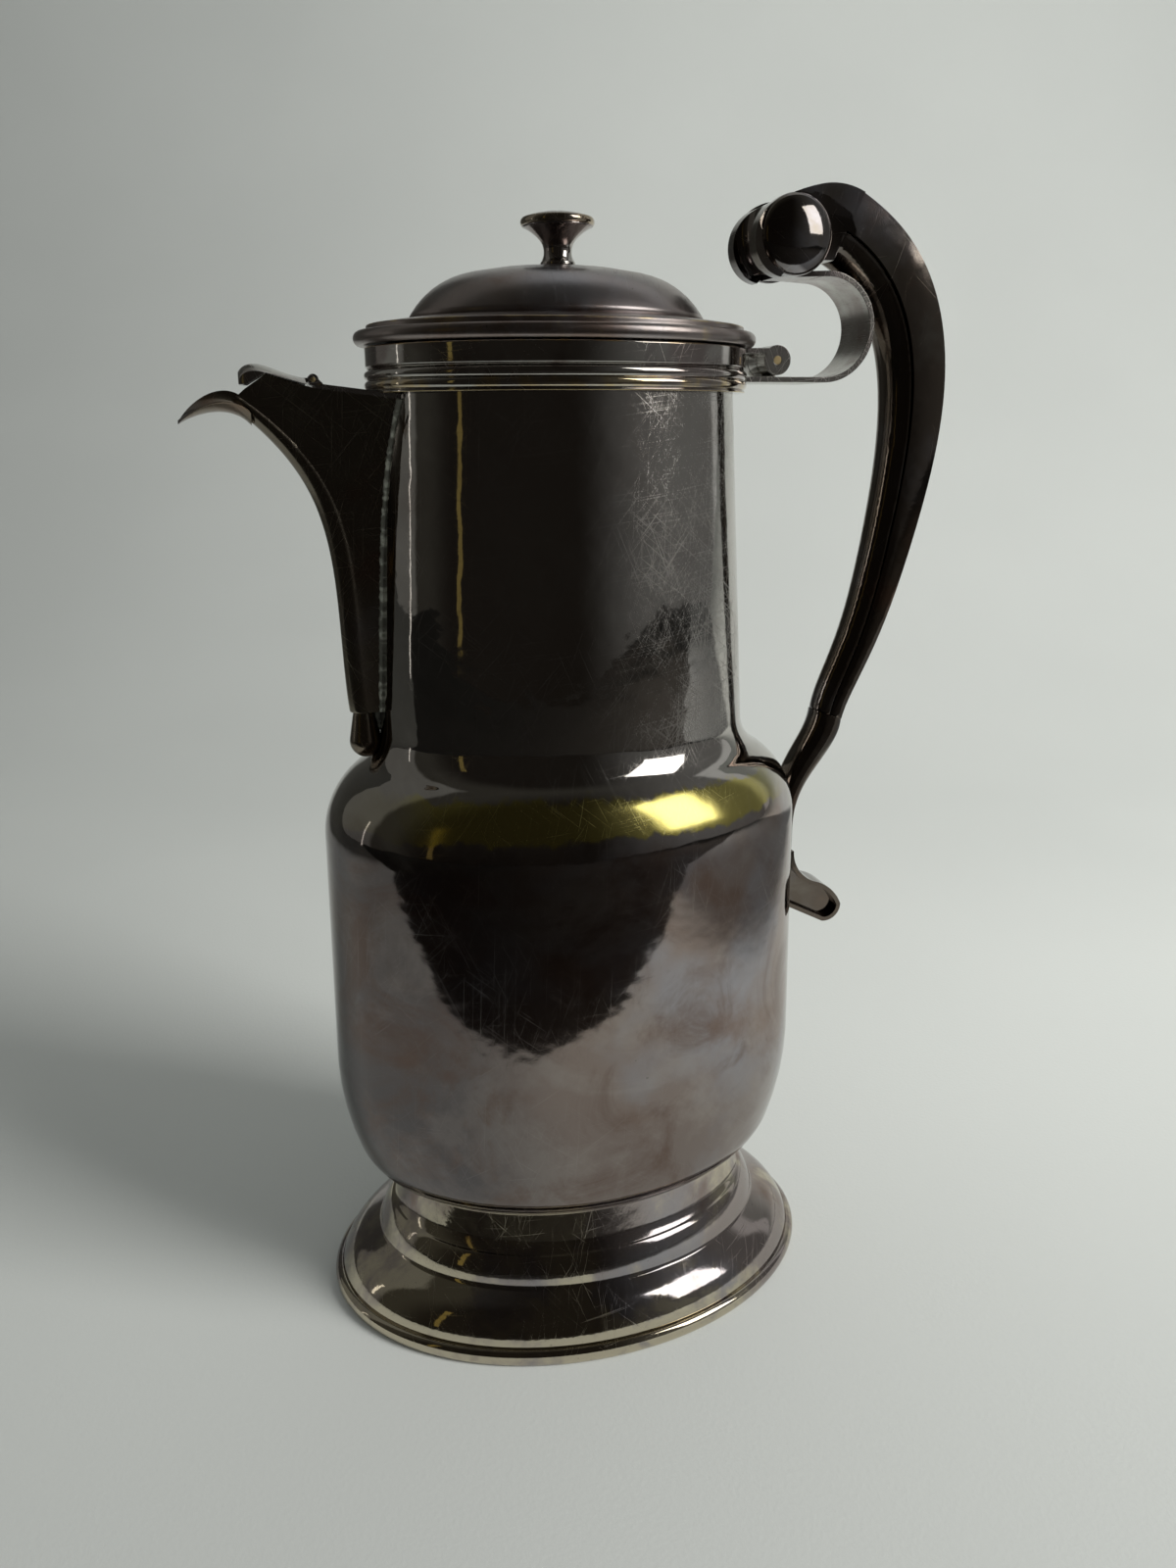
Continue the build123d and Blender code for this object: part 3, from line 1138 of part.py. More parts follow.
# Pin of the flap
with BuildPart() as flap_pin:
    with BuildSketch(Plane.XZ.offset(-FLAP_EARS_WIDTH / 2)):
        with Locations((-FLAP_PIN_X, FLAP_PIN_Z)):
            Circle(FLAP_PIN_RADIUS)
    extrude(amount=FLAP_EARS_WIDTH)
flap_pin.part.label = "flap_pin"
export_step(flap_pin.part, "parts/flap_pin.step")
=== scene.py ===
"""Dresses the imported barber's jug for its portrait: turned shells, straps, tarnished plate, pale paper."""

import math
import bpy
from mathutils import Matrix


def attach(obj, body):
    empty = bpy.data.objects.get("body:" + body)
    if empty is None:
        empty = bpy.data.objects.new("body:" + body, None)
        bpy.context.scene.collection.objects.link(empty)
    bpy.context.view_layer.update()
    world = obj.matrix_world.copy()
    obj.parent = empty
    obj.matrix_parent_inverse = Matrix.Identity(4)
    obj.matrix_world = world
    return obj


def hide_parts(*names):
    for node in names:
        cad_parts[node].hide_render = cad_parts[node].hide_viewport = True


bl_info = {
    "name": "Barber's Jug Dresser",
    "version": (1, 0, 0),
    "blender": (4, 5, 0),
    "location": "3D View > Sidebar > Jug",
    "description": "Makes the pieces of an oval lidded jug in tarnished silver plate, with paper and light",
    "category": "Object",
}

import bmesh
import bpy
from mathutils import Matrix, Vector

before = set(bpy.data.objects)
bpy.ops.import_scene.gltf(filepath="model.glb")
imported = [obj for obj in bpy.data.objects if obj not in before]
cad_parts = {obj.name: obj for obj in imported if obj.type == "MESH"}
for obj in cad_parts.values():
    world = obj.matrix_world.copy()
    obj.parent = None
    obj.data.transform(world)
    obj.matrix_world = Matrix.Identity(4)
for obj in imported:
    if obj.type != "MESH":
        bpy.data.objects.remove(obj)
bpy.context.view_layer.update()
MM = 0.001
AHEAD = (0.2656, 0.9641)  # the way that the camera looks, seen from above
SHARP_EDGE = math.radians(32.0)
MERGED = 2e-6  # metres

# Sizes in millimetres, radii along the long axis of the oval
WALL = 1.1  # of body and foot
SEAM = 0.05  # gap for solder
BODY_FOOT = 32.0
BASE_FLAT_RADIUS = 38.4
BODY_TURN = (12.5, 1.2)  # in from the body's radius and up from its base, as the next
BODY_BILGE = (3.6, 10.0)
BODY_RADIUS, BODY_WIDEST = 58.5, 64.0
SHOULDER_RADIUS, SHOULDER = 57.3, 133.3
SHOULDER_ROUND, NECK_FILLET = 20.0, 9.0
NECK_RADIUS, NECK_FOOT = 43.7, 142.2
MOUTH_RADIUS, MOUTH = 38.8, 229.6
LIP_ROUND = 0.3
FOOT_EDGE, FOOT_SEAT = 61.3, 33.0
LOWER_STEP = ((58.7, 8.9), (54.4, 12.4))  # the middle and end of a curve, as the next two
UPPER_STEP = ((49.5, 18.2), (47.3, 21.6))
FOOT_NECK = ((44.6, 26.6), (42.6, 31.7))
UPPER_STEP_FOOT, FOOT_NECK_FOOT, FOOT_TOP = (50.9, 14.4), (46.5, 22.0), (42.5, 32.0)
WIRE_INNER, WIRE_FLAT, WIRE_RADIUS, WIRE_CROWN, WIRE_TOP = 60.0, 62.2, 63.2, 61.7, 3.9
COLLAR_RADIUS, COLLAR_FOOT, COLLAR_LIP = 42.0, 220.3, 0.6
REED_RADIUS, REED_GROOVE, REED_HEIGHT = 42.4, 41.7, 2.0
BAND_FOOT, BAND_ROUND = 225.5, 0.4
LID_FOOT, LID_INNER, LID_WALL = 229.9, 35.8, 1.0
LID_RIM_RADIUS, LID_BEAD_RADIUS, LID_BEAD_TOP = 44.2, 43.3, 2.8  # tops are above LID_FOOT
LID_STEP_RADIUS, LID_STEP_TOP = 41.4, 4.0
LID_SEAT_RADIUS, LID_SEAT_TOP, LID_HOLE_RADIUS = 32.5, 5.3, 30.6
DOME_TOP, DOME_SHOULDER, DOME_SHOULDER_RADIUS, DOME_FOOT = 246.3, 244.3, 20.0, 235.2
BEZEL_INNER, BEZEL_RADIUS, BEZEL_FOOT = 36.0, 37.1, 224.2
STEM_FOOT, STEM_HEIGHT, STEM_BASE, STEM_WAIST, STEM_FLARE = 246.35, 7.6, 3.75, 3.0, 3.9
CAP_FOOT, CAP_RADIUS, CAP_EDGE, CAP_EDGE_TOP, CAP_TOP = 253.95, 7.9, 7.55, 1.6, 2.9  # tops are above CAP_FOOT
PIERCING_ENDS = (-60.0, -20.0)
PIERCING_SECTION = ((-2.2, 166.0), (2.2, 166.0), (6.0, 213.0), (-6.0, 213.0))
BOSS_X, BOSS_CHEEK, BOSS_Z = 51.8, 7.2, 253.2
BOSS_RADIUS, BOSS_RISE, BOSS_SUNK = 8.4, 3.6, 2.0
SPOUT_BEAD, DROP_BEAD, SCROLL_BEAD = 0.8, 1.2, 0.55
DROP_SOLDER = ((-44.0, 0.0, 153.0), (-44.1, 0.0, 149.5), (-44.6, 0.0, 146.6))

# Where a look begins and is full, in metres: on the body, then on the paper
HAZE_TOP = (0.137, 0.122)
HANDLED_FOOT = (0.136, 0.152)
LOW_BODY = (0.085, 0.045)
WORN_SHOULDER = (0.1338, 0.0034, 0.0012)  # height, half the width and fade
RUBBED_MIDDLE = (0.003, 0.036, 0.01)  # place along the oval, half the width and fade
SPOUT_SIDE = (-0.006, -0.038)
HANDLE_SIDE = (0.008, 0.03)
NEAR_SIDE = (-0.008, -0.026)
PAPER_SHADE_LEFT = (0.2, -0.9)
PAPER_SHADE_NEAR = (0.2, -0.22)
PAPER_FRONT_EDGE = (-0.192, -0.198)
PAPER_LEFT_EDGE = (-0.4, -0.6)
PAPER_RIGHT_EDGE = (0.22, 0.3)
PAPER_CORNER_END = (0.42, 0.36)
BEYOND_FRONT_EDGE = (0.012, 0.01, 0.008, 1.0)

SENSOR = 36.0
PHOTO_FOCUS, PHOTO_HEIGHT = 1185.0, 1600.0  # in pixels
SIDES = ((-1, "near"), (1, "far"))


# Nodes of every kind


def put(tree, kind, inputs=None, **settings):
    """Adds a node, its settings, and the values or output sockets of its inputs."""
    made = tree.nodes.new(kind)
    for key, value in settings.items():
        setattr(made, key, value)
    for key, value in (inputs or {}).items():
        if isinstance(value, bpy.types.NodeSocket):
            tree.links.new(value, made.inputs[key])
        else:
            made.inputs[key].default_value = value
    return made


# Shader expressions


class Reading:
    """The value of a socket, which Python's operators turn into Math nodes."""

    def __init__(self, finish, socket):
        self.finish = finish
        self.socket = socket

    def _math(self, operation, *terms):
        return self.finish.node("ShaderNodeMath", dict(enumerate(terms)), operation=operation)

    def __add__(self, other):
        return self._math("ADD", self, other)

    def __sub__(self, other):
        return self._math("SUBTRACT", self, other)

    def __rsub__(self, other):
        return self._math("SUBTRACT", other, self)

    def __mul__(self, other):
        return self._math("MULTIPLY", self, other)

    __radd__ = __add__
    __rmul__ = __mul__

    def clamp(self):
        made = self._math("ADD", self, 0.0)
        made.socket.node.use_clamp = True
        return made

    def away(self, centre):
        """Distance of the value from a number."""
        return self._math("ABSOLUTE", self - centre)


class Finish:
    """A node material in the making, with one method for every kind of node."""

    def __init__(self, name):
        self.material = bpy.data.materials.new(name)
        self.material.use_nodes = True
        self.tree = self.material.node_tree
        self.tree.nodes.clear()
        self.place = self.node("ShaderNodeTexCoord", output="Object")
        split = self.node("ShaderNodeSeparateXYZ", {0: self.place}).socket.node
        self.x, self.y, self.z = (Reading(self, socket) for socket in split.outputs)

    def node(self, kind, inputs=None, output=0, **settings):
        """Adds a node with its settings and inputs; returns the reading of one output."""
        sources = {key: getattr(value, "socket", value) for key, value in (inputs or {}).items()}
        return Reading(self, put(self.tree, kind, sources, **settings).outputs[output])

    def turned(self, turn=(0, 0, 0), grain=(1, 1, 1), move=(0, 0, 0)):
        """Object coordinates in a frame that is moved and turned, measured in grains of a size."""
        inputs = {"Vector": self.place, "Rotation": turn, "Scale": grain, "Location": move}
        return self.node("ShaderNodeMapping", inputs, vector_type="TEXTURE")

    def noise(self, size, detail=3.0, roughness=0.55, at=None, distortion=0.0):
        """Noise with features of a size in metres."""
        inputs = {"Vector": at or self.place, "Scale": 1.0 / size, "Detail": detail}
        inputs.update({"Roughness": roughness, "Distortion": distortion})
        return self.node("ShaderNodeTexNoise", inputs)

    def smooth(self, value, low, high):
        """0 below low and 1 above high, with a soft step between; low may be the higher one."""
        inputs = {"Value": value, "From Min": low, "From Max": high}
        if low > high:
            inputs.update({"From Min": high, "From Max": low, "To Min": 1.0, "To Max": 0.0})
        return self.node("ShaderNodeMapRange", inputs, interpolation_type="SMOOTHSTEP")

    def band(self, value, centre, half, soft):
        """1 within half of a centre, fading over soft."""
        return self.smooth(value.away(centre), half + soft, half)

    def mix(self, factor, first, second):
        """Colour between two colours."""
        return self.node("ShaderNodeMix", {0: factor, 6: first, 7: second}, output=2, data_type="RGBA")

    def attribute(self, name):
        """A number stored on the piece."""
        return self.node("ShaderNodeAttribute", output="Fac", attribute_name=name)

    def scratches(self, width, length, lean, share, seed, more=0.0):
        """Straight fine scratches of a width and length, leaning from upright, on a share of the surface."""
        at = self.turned((0.0, lean, 0.0), (width, length, length), (seed, 0.0, seed))
        lines = self.noise(1.0, detail=1.0, at=at)
        return self.smooth(lines + more, 1.0 - share, 1.0 - share + 0.05)

    def plate(self, color, roughness, bumps, depth, metallic=1.0):
        """Ends the material in a bumpy surface, of metal unless told otherwise, and returns it."""
        bump = self.node("ShaderNodeBump", {"Strength": 1.0, "Distance": depth, "Height": bumps})
        inputs = {"Base Color": color, "Roughness": roughness, "Metallic": metallic, "Normal": bump}
        shader = self.node("ShaderNodeBsdfPrincipled", inputs)
        put(self.tree, "ShaderNodeOutputMaterial", {"Surface": shader.socket})
        return self.material


def rgb(color):
    """A colour property as four numbers."""
    return (color[0], color[1], color[2], 1.0)


# Finishes of the jug


def fine_wear(finish, dense, more=0.0):
    """Crossing hair scratches on a dense share of the surface, and more of them where it is handled."""
    marks = finish.scratches(0.00018, 0.03, 0.05, dense, 0.1, more)
    crossing = ((0.7, 0.02), (-0.9, 0.016), (0.35, 0.024), (-0.4, 0.022), (1.45, 0.018))
    for seed, (lean, length) in enumerate(crossing):
        marks = marks + finish.scratches(0.00016, length, lean, dense, 0.2 + seed * 0.13, more)
    patches = finish.smooth(finish.noise(0.024, at=finish.turned(move=(0.9, 0.6, 0.1))), 0.36, 0.62)
    return (marks * (0.3 + patches * 0.7)).clamp()


def deep_wear(finish):
    """A few single scratches, longer and wider than the hair ones."""
    marks = finish.scratches(0.00034, 0.034, 0.12, 0.25, 0.5)
    marks = marks + finish.scratches(0.0003, 0.026, 0.95, 0.26, 0.66)
    return (marks + finish.scratches(0.0003, 0.022, -0.75, 0.26, 0.81)).clamp()


def tarnished(finish, look, color, haze, haze_color):
    """Lays a haze of tarnish over a colour, with cooler and warmer clouds in it."""
    color = finish.mix(haze, color, haze_color)
    cool = finish.smooth(finish.noise(0.04, detail=4.0, at=finish.turned(move=(0.3, 0.1, 0.2))), 0.48, 0.68)
    color = finish.mix(cool * haze * 0.75, color, rgb(look.haze_cool))
    warm = finish.smooth(finish.noise(0.022, detail=5.0, at=finish.turned(move=(0.7, 0.4, 0.9))), 0.52, 0.7)
    return finish.mix(warm * haze * 0.7, color, rgb(look.haze_warm))


def plate_finish(name, look, recipe):
    """Silver plate: bright where it was rubbed, hazed with tarnish in clouds, and brassy along worn edges."""
    finish = Finish(name)
    clouds = finish.noise(0.03, detail=5.0, roughness=0.6, distortion=0.6)
    fine = finish.noise(0.005, detail=4.0)
    specks = finish.noise(0.0011, detail=2.0)
    share = recipe["haze_share"]
    haze = finish.smooth(clouds + fine * 0.25, 0.66 - share * 0.5, 0.8 - share * 0.4)
    hair = fine_wear(finish, recipe["scratches"])
    color = tarnished(finish, look, rgb(recipe["silver"]), haze, rgb(recipe["haze"]))
    color = finish.mix(finish.smooth(specks, 0.7, 0.78) * 0.5, color, rgb(look.speck))
    edge = finish.attribute("edge")
    worn = finish.smooth(edge + (fine - 0.5) * 0.7, 0.72, 0.95) * recipe["wear"]
    color = finish.mix(worn, color, rgb(look.brass))
    color = finish.mix(deep_wear(finish) * 0.16, color, rgb(look.scratch_and_sheen))
    rough = recipe["rough"] + haze * recipe["blur"] + hair * 0.26 + fine * 0.03
    height = fine * 0.25 + clouds * 0.8
    return finish.plate(color, rough.clamp(), height, recipe["dents"])


def body_finish(look):
    """The body: purple brown haze below, scratched dark neck above with a painted sheen in its hair
    scratches, rubbed to brass at the shoulder.
    """
    finish = Finish("body_plate")
    clouds = finish.noise(0.045, detail=6.0, roughness=0.62, distortion=0.9)
    fine = finish.noise(0.006, detail=5.0, roughness=0.62)
    specks = finish.noise(0.0012, detail=2.0)
    tall = finish.z
    low_haze = finish.smooth(tall + (clouds - 0.5) * 0.05, *HAZE_TOP)
    patchy = finish.smooth(clouds + fine * 0.2, 0.45, 0.75)
    haze = (low_haze * (0.72 + patchy * 0.28) + patchy * 0.22).clamp()
    handled = finish.smooth(finish.x - finish.y * 0.4, *HANDLE_SIDE) * finish.smooth(tall, *HANDLED_FOOT)
    hair = fine_wear(finish, 0.31, handled * 0.085)
    color = tarnished(finish, look, rgb(look.silver), haze, rgb(look.haze))
    # Where the haze lies, a darker lilac colour towards the spout side and, more faintly, towards the bottom.
    spout_side = finish.smooth(finish.x + (clouds - 0.5) * 0.03, *SPOUT_SIDE)
    spout_side_and_low = (spout_side * 0.8 + finish.smooth(tall, *LOW_BODY) * 0.3).clamp()
    color = finish.mix(spout_side_and_low * haze, color, rgb(look.haze_spout_side_and_low))
    mottle = finish.smooth(finish.noise(0.03, detail=6.0, roughness=0.66, distortion=1.3), 0.46, 0.7)
    color = finish.mix(mottle * low_haze * 0.75, color, rgb(look.haze_brown))
    front = finish.smooth(finish.y + finish.x * 0.12, *NEAR_SIDE)
    ragged = (fine - 0.5) * 0.006 + (clouds - 0.5) * 0.008
    shoulder = finish.band(tall + ragged, *WORN_SHOULDER) * (0.12 + front * 0.88)
    reach = finish.band(finish.x + (clouds - 0.5) * 0.02, *RUBBED_MIDDLE)
    rubbed = (shoulder * (0.15 + reach * 0.85)).clamp()
    color = finish.mix(rubbed * 0.92, color, rgb(look.brass_green))
    # Hair scratches lighten the colour as a painted sheen, for the window light they catch; the deep
    # scratches show lighter silver through the tarnish.
    color = finish.mix(hair * 0.1 + deep_wear(finish) * 0.08, color, rgb(look.scratch_and_sheen))
    color = finish.mix(finish.smooth(specks, 0.72, 0.8) * 0.5, color, rgb(look.speck))
    edge = finish.attribute("edge")
    color = finish.mix(finish.smooth(edge, 0.5, 0.9) * 0.6, color, rgb(look.brass))
    dents = finish.noise(0.02)
    rough = (0.025 + haze * 0.03 + hair * (handled * 0.14 + 0.16) + rubbed * 0.12 + fine * 0.02).clamp()
    return finish.plate(color, rough, dents + fine * 0.05, 0.00022)


def pin_finish(look):
    """Plain brass wire, dull at the ends."""
    finish = Finish("pin_metal")
    fine = finish.noise(0.0015, detail=4.0)
    dark = finish.smooth(fine, 0.5, 0.7)
    color = finish.mix(dark * 0.6, rgb(look.brass), (0.16, 0.12, 0.07, 1.0))
    return finish.plate(color, 0.28 + fine * 0.2, fine, 0.00005)


def solder_finish(look):
    """Grey solder along the seams, dull and a little lumpy."""
    finish = Finish("solder_metal")
    lumps = finish.noise(0.002, detail=4.0)
    color = finish.mix(finish.smooth(lumps, 0.45, 0.65), (0.12, 0.12, 0.1, 1.0), (0.42, 0.43, 0.37, 1.0))
    return finish.plate(color, 0.42 + lumps * 0.2, lumps, 0.0002, metallic=0.35)


def sheet_finish(look):
    """Matt paper, with a faint grain, a little random tone, and painted shade that darkens it to the left,
    away from the window, and towards the camera; in front of the jug, mirrors see the dark room beyond its
    edge.
    """
    finish = Finish("sheet_paper")
    grain = finish.noise(0.0012)
    wide = finish.noise(0.3, detail=2.0)
    ahead = finish.x * AHEAD[0] + finish.y * AHEAD[1]
    aside = finish.x * AHEAD[1] - finish.y * AHEAD[0]
    # Painted shade: the paper turns darker to the left, away from the window, and towards the camera; a faint
    # random tone is mixed in.
    shade = finish.smooth(wide, 0.3, 0.7) * 0.1 + finish.smooth(aside, *PAPER_SHADE_LEFT) * 0.75
    shade = shade + finish.smooth(ahead, *PAPER_SHADE_NEAR) * 0.7
    color = finish.mix(shade.clamp(), rgb(look.sheet), rgb(look.sheet_shade))
    mirrored = finish.node("ShaderNodeLightPath", output="Is Glossy Ray")
    color = finish.mix(finish.smooth(aside, *PAPER_LEFT_EDGE) * mirrored, color, rgb(look.sheet_side))
    corner = finish.smooth(aside, *PAPER_RIGHT_EDGE) * finish.smooth(ahead, *PAPER_CORNER_END)
    color = finish.mix(corner * mirrored, color, rgb(look.sheet_corner))
    color = finish.mix(finish.smooth(ahead, *PAPER_FRONT_EDGE) * mirrored, color, BEYOND_FRONT_EDGE)
    return finish.plate(color, 0.85, grain, 0.00005, metallic=0.0)


# Profiles, drawn in millimetres as distance from the axis and height


class Profile:
    """A half outline drawn with lines and arcs; worn corners carry an edge mark."""

    STEP = math.radians(5.0)

    def __init__(self, x, z):
        self.points = [(x, z, 0.0)]
        self.heading = None

    @property
    def end(self):
        return Vector(self.points[-1][:2])

    def line(self, x, z, hold=0.35):
        """A straight run with a point held near each end, so that shading stays flat between."""
        start, stop = self.end, Vector((x, z))
        run = stop - start
        if run.length > 3 * hold:
            self._add(start + run.normalized() * hold)
            self._add(stop - run.normalized() * hold)
        self._add(stop)
        self.heading = run.normalized()

    def lines(self, *ends):
        """Straight runs to one point after the other."""
        for x, z in ends:
            self.line(x, z)

    def _add(self, point, worn=0.0):
        self.points.append((point[0], point[1], worn))

    def _sweep(self, centre, start, stop, clockwise, worn):
        first = math.atan2(start[1] - centre[1], start[0] - centre[0])
        last = math.atan2(stop[1] - centre[1], stop[0] - centre[0])
        turn = (last - first) % (2 * math.pi)
        if clockwise:
            turn -= 2 * math.pi
        radius = (start - centre).length
        steps = max(3, math.ceil(abs(turn) / self.STEP))
        for step in range(1, steps + 1):
            angle = first + turn * step / steps
            self._add(centre + Vector((math.cos(angle), math.sin(angle))) * radius, worn)
        side = -1.0 if clockwise else 1.0
        self.heading = Vector((-math.sin(last), math.cos(last))) * side

    def arc(self, x, z, heading=None, worn=0.0):
        """An arc that leaves along the present heading."""
        start, stop = self.end, Vector((x, z))
        ahead = Vector(heading).normalized() if heading else self.heading
        chord = stop - start
        across = Vector((-ahead[1], ahead[0]))
        offset = chord.length_squared / (2 * chord.dot(across))
        self._sweep(start + across * offset, start, stop, offset < 0, worn)

    def through(self, middle, stop, worn=0.0):
        """An arc through a middle point."""
        a, b, c = self.end, Vector(middle), Vector(stop)
        ab, ac = b - a, c - a
        cross = 2 * (ab[0] * ac[1] - ab[1] * ac[0])
        centre = a + Vector((
            (ac[1] * ab.length_squared - ab[1] * ac.length_squared) / cross,
            (ab[0] * ac.length_squared - ac[0] * ab.length_squared) / cross,
        ))
        self._sweep(centre, a, c, cross < 0, worn)

    def corner(self, corner, beyond, radius, worn=0.0):
        """A straight run to a corner, and the round that turns it towards a point beyond."""
        start, tip, stop = self.end, Vector(corner), Vector(beyond)
        back, ahead = (start - tip).normalized(), (stop - tip).normalized()
        reach = radius / math.tan(back.angle(ahead) / 2)
        self.line(*(tip + back * reach))
        self.arc(*(tip + ahead * reach), worn=worn)


def body_profile(inset):
    """Outside of body and neck from the middle of the base to the mouth, moved inwards by inset."""
    neck_foot = Vector((NECK_RADIUS - inset, NECK_FOOT - inset / 2))
    mouth = Vector((MOUTH_RADIUS - inset, MOUTH))
    line = Profile(0.0, BODY_FOOT + inset)
    line.line(BASE_FLAT_RADIUS, BODY_FOOT + inset)
    for reach, rise in (BODY_TURN, BODY_BILGE):
        line.arc(BODY_RADIUS - reach - inset, BODY_FOOT + rise + inset)
    line.arc(BODY_RADIUS - inset, BODY_WIDEST)
    line.corner((SHOULDER_RADIUS - inset, SHOULDER - inset / 2), neck_foot, SHOULDER_ROUND - inset)
    line.corner(neck_foot, mouth, NECK_FILLET + inset)
    return line, mouth


def closed(points):
    """Drops points that repeat their neighbour; turned joins the last one to the first."""
    kept = [points[0]]
    for point in points[1:]:
        if (Vector(point[:2]) - Vector(kept[-1][:2])).length > 1e-4:
            kept.append(point)
    return kept


def body_shell():
    outside, mouth = body_profile(0.0)
    outside.corner(tuple(mouth), (mouth[0] - WALL, mouth[1]), LIP_ROUND, worn=1.0)
    inside, lip = body_profile(WALL)
    inside.corner(tuple(lip), (lip[0] + WALL, lip[1]), LIP_ROUND, worn=1.0)
    return closed(outside.points + inside.points[::-1])


def foot_outline(inset):
    """The stepped foot from its wire up to the body, moved down and inwards by inset."""

    def inner(*points):
        return [(x - inset, z - inset) for x, z in points]

    steps = inner(UPPER_STEP_FOOT, FOOT_NECK_FOOT, FOOT_TOP)
    line = Profile(FOOT_EDGE - inset, WIRE_TOP)
    line.through(*inner(*LOWER_STEP))
    line.line(*steps[0])
    line.through(*inner(*UPPER_STEP))
    line.line(*steps[1], hold=0.2)
    line.through(*inner(*FOOT_NECK))
    line.line(*steps[2])
    return line


def foot_shell():
    outside = foot_outline(0.0)
    outside.lines((FOOT_SEAT, BODY_FOOT), (FOOT_SEAT, BODY_FOOT - WALL))
    return closed(outside.points + foot_outline(WALL).points[::-1] + [(FOOT_EDGE, WIRE_TOP, 0.0)])


def rim_wire():
    line = Profile(WIRE_INNER, 0.0)
    line.line(WIRE_FLAT, 0.0)
    line.through((WIRE_RADIUS, WIRE_TOP / 2), (WIRE_CROWN, WIRE_TOP), worn=0.55)
    line.lines((WIRE_INNER, WIRE_TOP), (WIRE_INNER, 0.0))
    return closed(line.points)


def reed_profile():
    first = COLLAR_FOOT + COLLAR_LIP
    second = first + REED_HEIGHT
    top = second + REED_HEIGHT + COLLAR_LIP
    line = Profile(neck_at(COLLAR_FOOT) + SEAM, COLLAR_FOOT)
    line.corner((COLLAR_RADIUS, COLLAR_FOOT), (COLLAR_RADIUS, first), 0.15, worn=1.0)
    line.line(COLLAR_RADIUS, first - 0.3, hold=0.05)
    line.line(REED_GROOVE, first, hold=0.05)
    for low, worn in ((first, 0.8), (second, 0.5)):
        line.through((REED_RADIUS, low + REED_HEIGHT / 2), (REED_GROOVE, low + REED_HEIGHT), worn=worn)
    line.lines((REED_GROOVE, top), (neck_at(top) + SEAM, top), (neck_at(COLLAR_FOOT) + SEAM, COLLAR_FOOT))
    return closed(line.points)


def neck_at(height):
    """Radius of the neck along the long axis at a height."""
    return NECK_RADIUS + (MOUTH_RADIUS - NECK_RADIUS) * (height - NECK_FOOT) / (MOUTH - NECK_FOOT)


def body_at(height):
    """Radius of the body's upright wall along the long axis at a height."""
    taper = BODY_RADIUS - SHOULDER_RADIUS
    return BODY_RADIUS - taper * (height - BODY_WIDEST) / (SHOULDER - BODY_WIDEST)


def band_profile():
    inner = MOUTH_RADIUS + SEAM
    line = Profile(neck_at(BAND_FOOT) + SEAM, BAND_FOOT)
    line.line(COLLAR_RADIUS, BAND_FOOT)
    line.corner((COLLAR_RADIUS, MOUTH), (inner, MOUTH), BAND_ROUND, worn=0.8)
    line.lines((inner, MOUTH), (neck_at(BAND_FOOT) + SEAM, BAND_FOOT))
    return closed(line.points)


def lid_rim_profile():
    bead, step, seat = LID_FOOT + LID_BEAD_TOP, LID_FOOT + LID_STEP_TOP, LID_FOOT + LID_SEAT_TOP
    line = Profile(LID_INNER, LID_FOOT)
    line.line(LID_BEAD_RADIUS, LID_FOOT)
    line.through((LID_RIM_RADIUS, LID_FOOT + LID_BEAD_TOP / 2), (LID_BEAD_RADIUS, bead), worn=0.66)
    line.corner((LID_STEP_RADIUS, bead), (LID_STEP_RADIUS, step), 0.3)
    line.corner((LID_STEP_RADIUS, step), (LID_SEAT_RADIUS, seat), 0.4, worn=0.8)
    line.lines((LID_SEAT_RADIUS, seat), (LID_HOLE_RADIUS, seat), (LID_HOLE_RADIUS, seat - LID_WALL))
    line.lines((LID_INNER, bead), (LID_INNER, LID_FOOT))
    return closed(line.points)


def dome_profile():
    def half(inset):
        line = Profile(0.0, DOME_TOP - inset)
        line.arc(DOME_SHOULDER_RADIUS - inset / 2, DOME_SHOULDER - inset, heading=(1, 0))
        line.arc(LID_SEAT_RADIUS - inset, DOME_FOOT)
        return line

    return closed(half(0.0).points + half(LID_WALL).points[::-1])


def bezel_profile():
    line = Profile(BEZEL_INNER, BEZEL_FOOT)
    line.corner((BEZEL_RADIUS, BEZEL_FOOT), (BEZEL_RADIUS, LID_FOOT), 0.3, worn=0.6)
    line.lines((BEZEL_RADIUS, LID_FOOT), (BEZEL_INNER, LID_FOOT), (BEZEL_INNER, BEZEL_FOOT))
    return closed(line.points)


def stem_profile():
    line = Profile(0.0, STEM_FOOT)
    line.line(STEM_BASE, STEM_FOOT)
    line.line(STEM_BASE, STEM_FOOT + 0.5, hold=0.1)
    waist, flare = STEM_FOOT + STEM_HEIGHT * 0.36, STEM_FOOT + STEM_HEIGHT * 0.66
    line.through((STEM_WAIST, waist), (STEM_FLARE, flare))
    line.arc(CAP_EDGE, STEM_FOOT + STEM_HEIGHT)
    line.line(0.0, STEM_FOOT + STEM_HEIGHT)
    return closed(line.points)


def cap_profile():
    edge = CAP_FOOT + CAP_EDGE_TOP
    line = Profile(0.0, CAP_FOOT)
    line.line(CAP_EDGE, CAP_FOOT)
    line.through((CAP_RADIUS, CAP_FOOT + CAP_EDGE_TOP / 2), (CAP_EDGE, edge), worn=1.0)
    crown = Profile(0.0, CAP_FOOT + CAP_TOP)
    crown.arc(CAP_EDGE, edge, heading=(1, 0))
    return closed(line.points + crown.points[::-1])


# Geometry Nodes


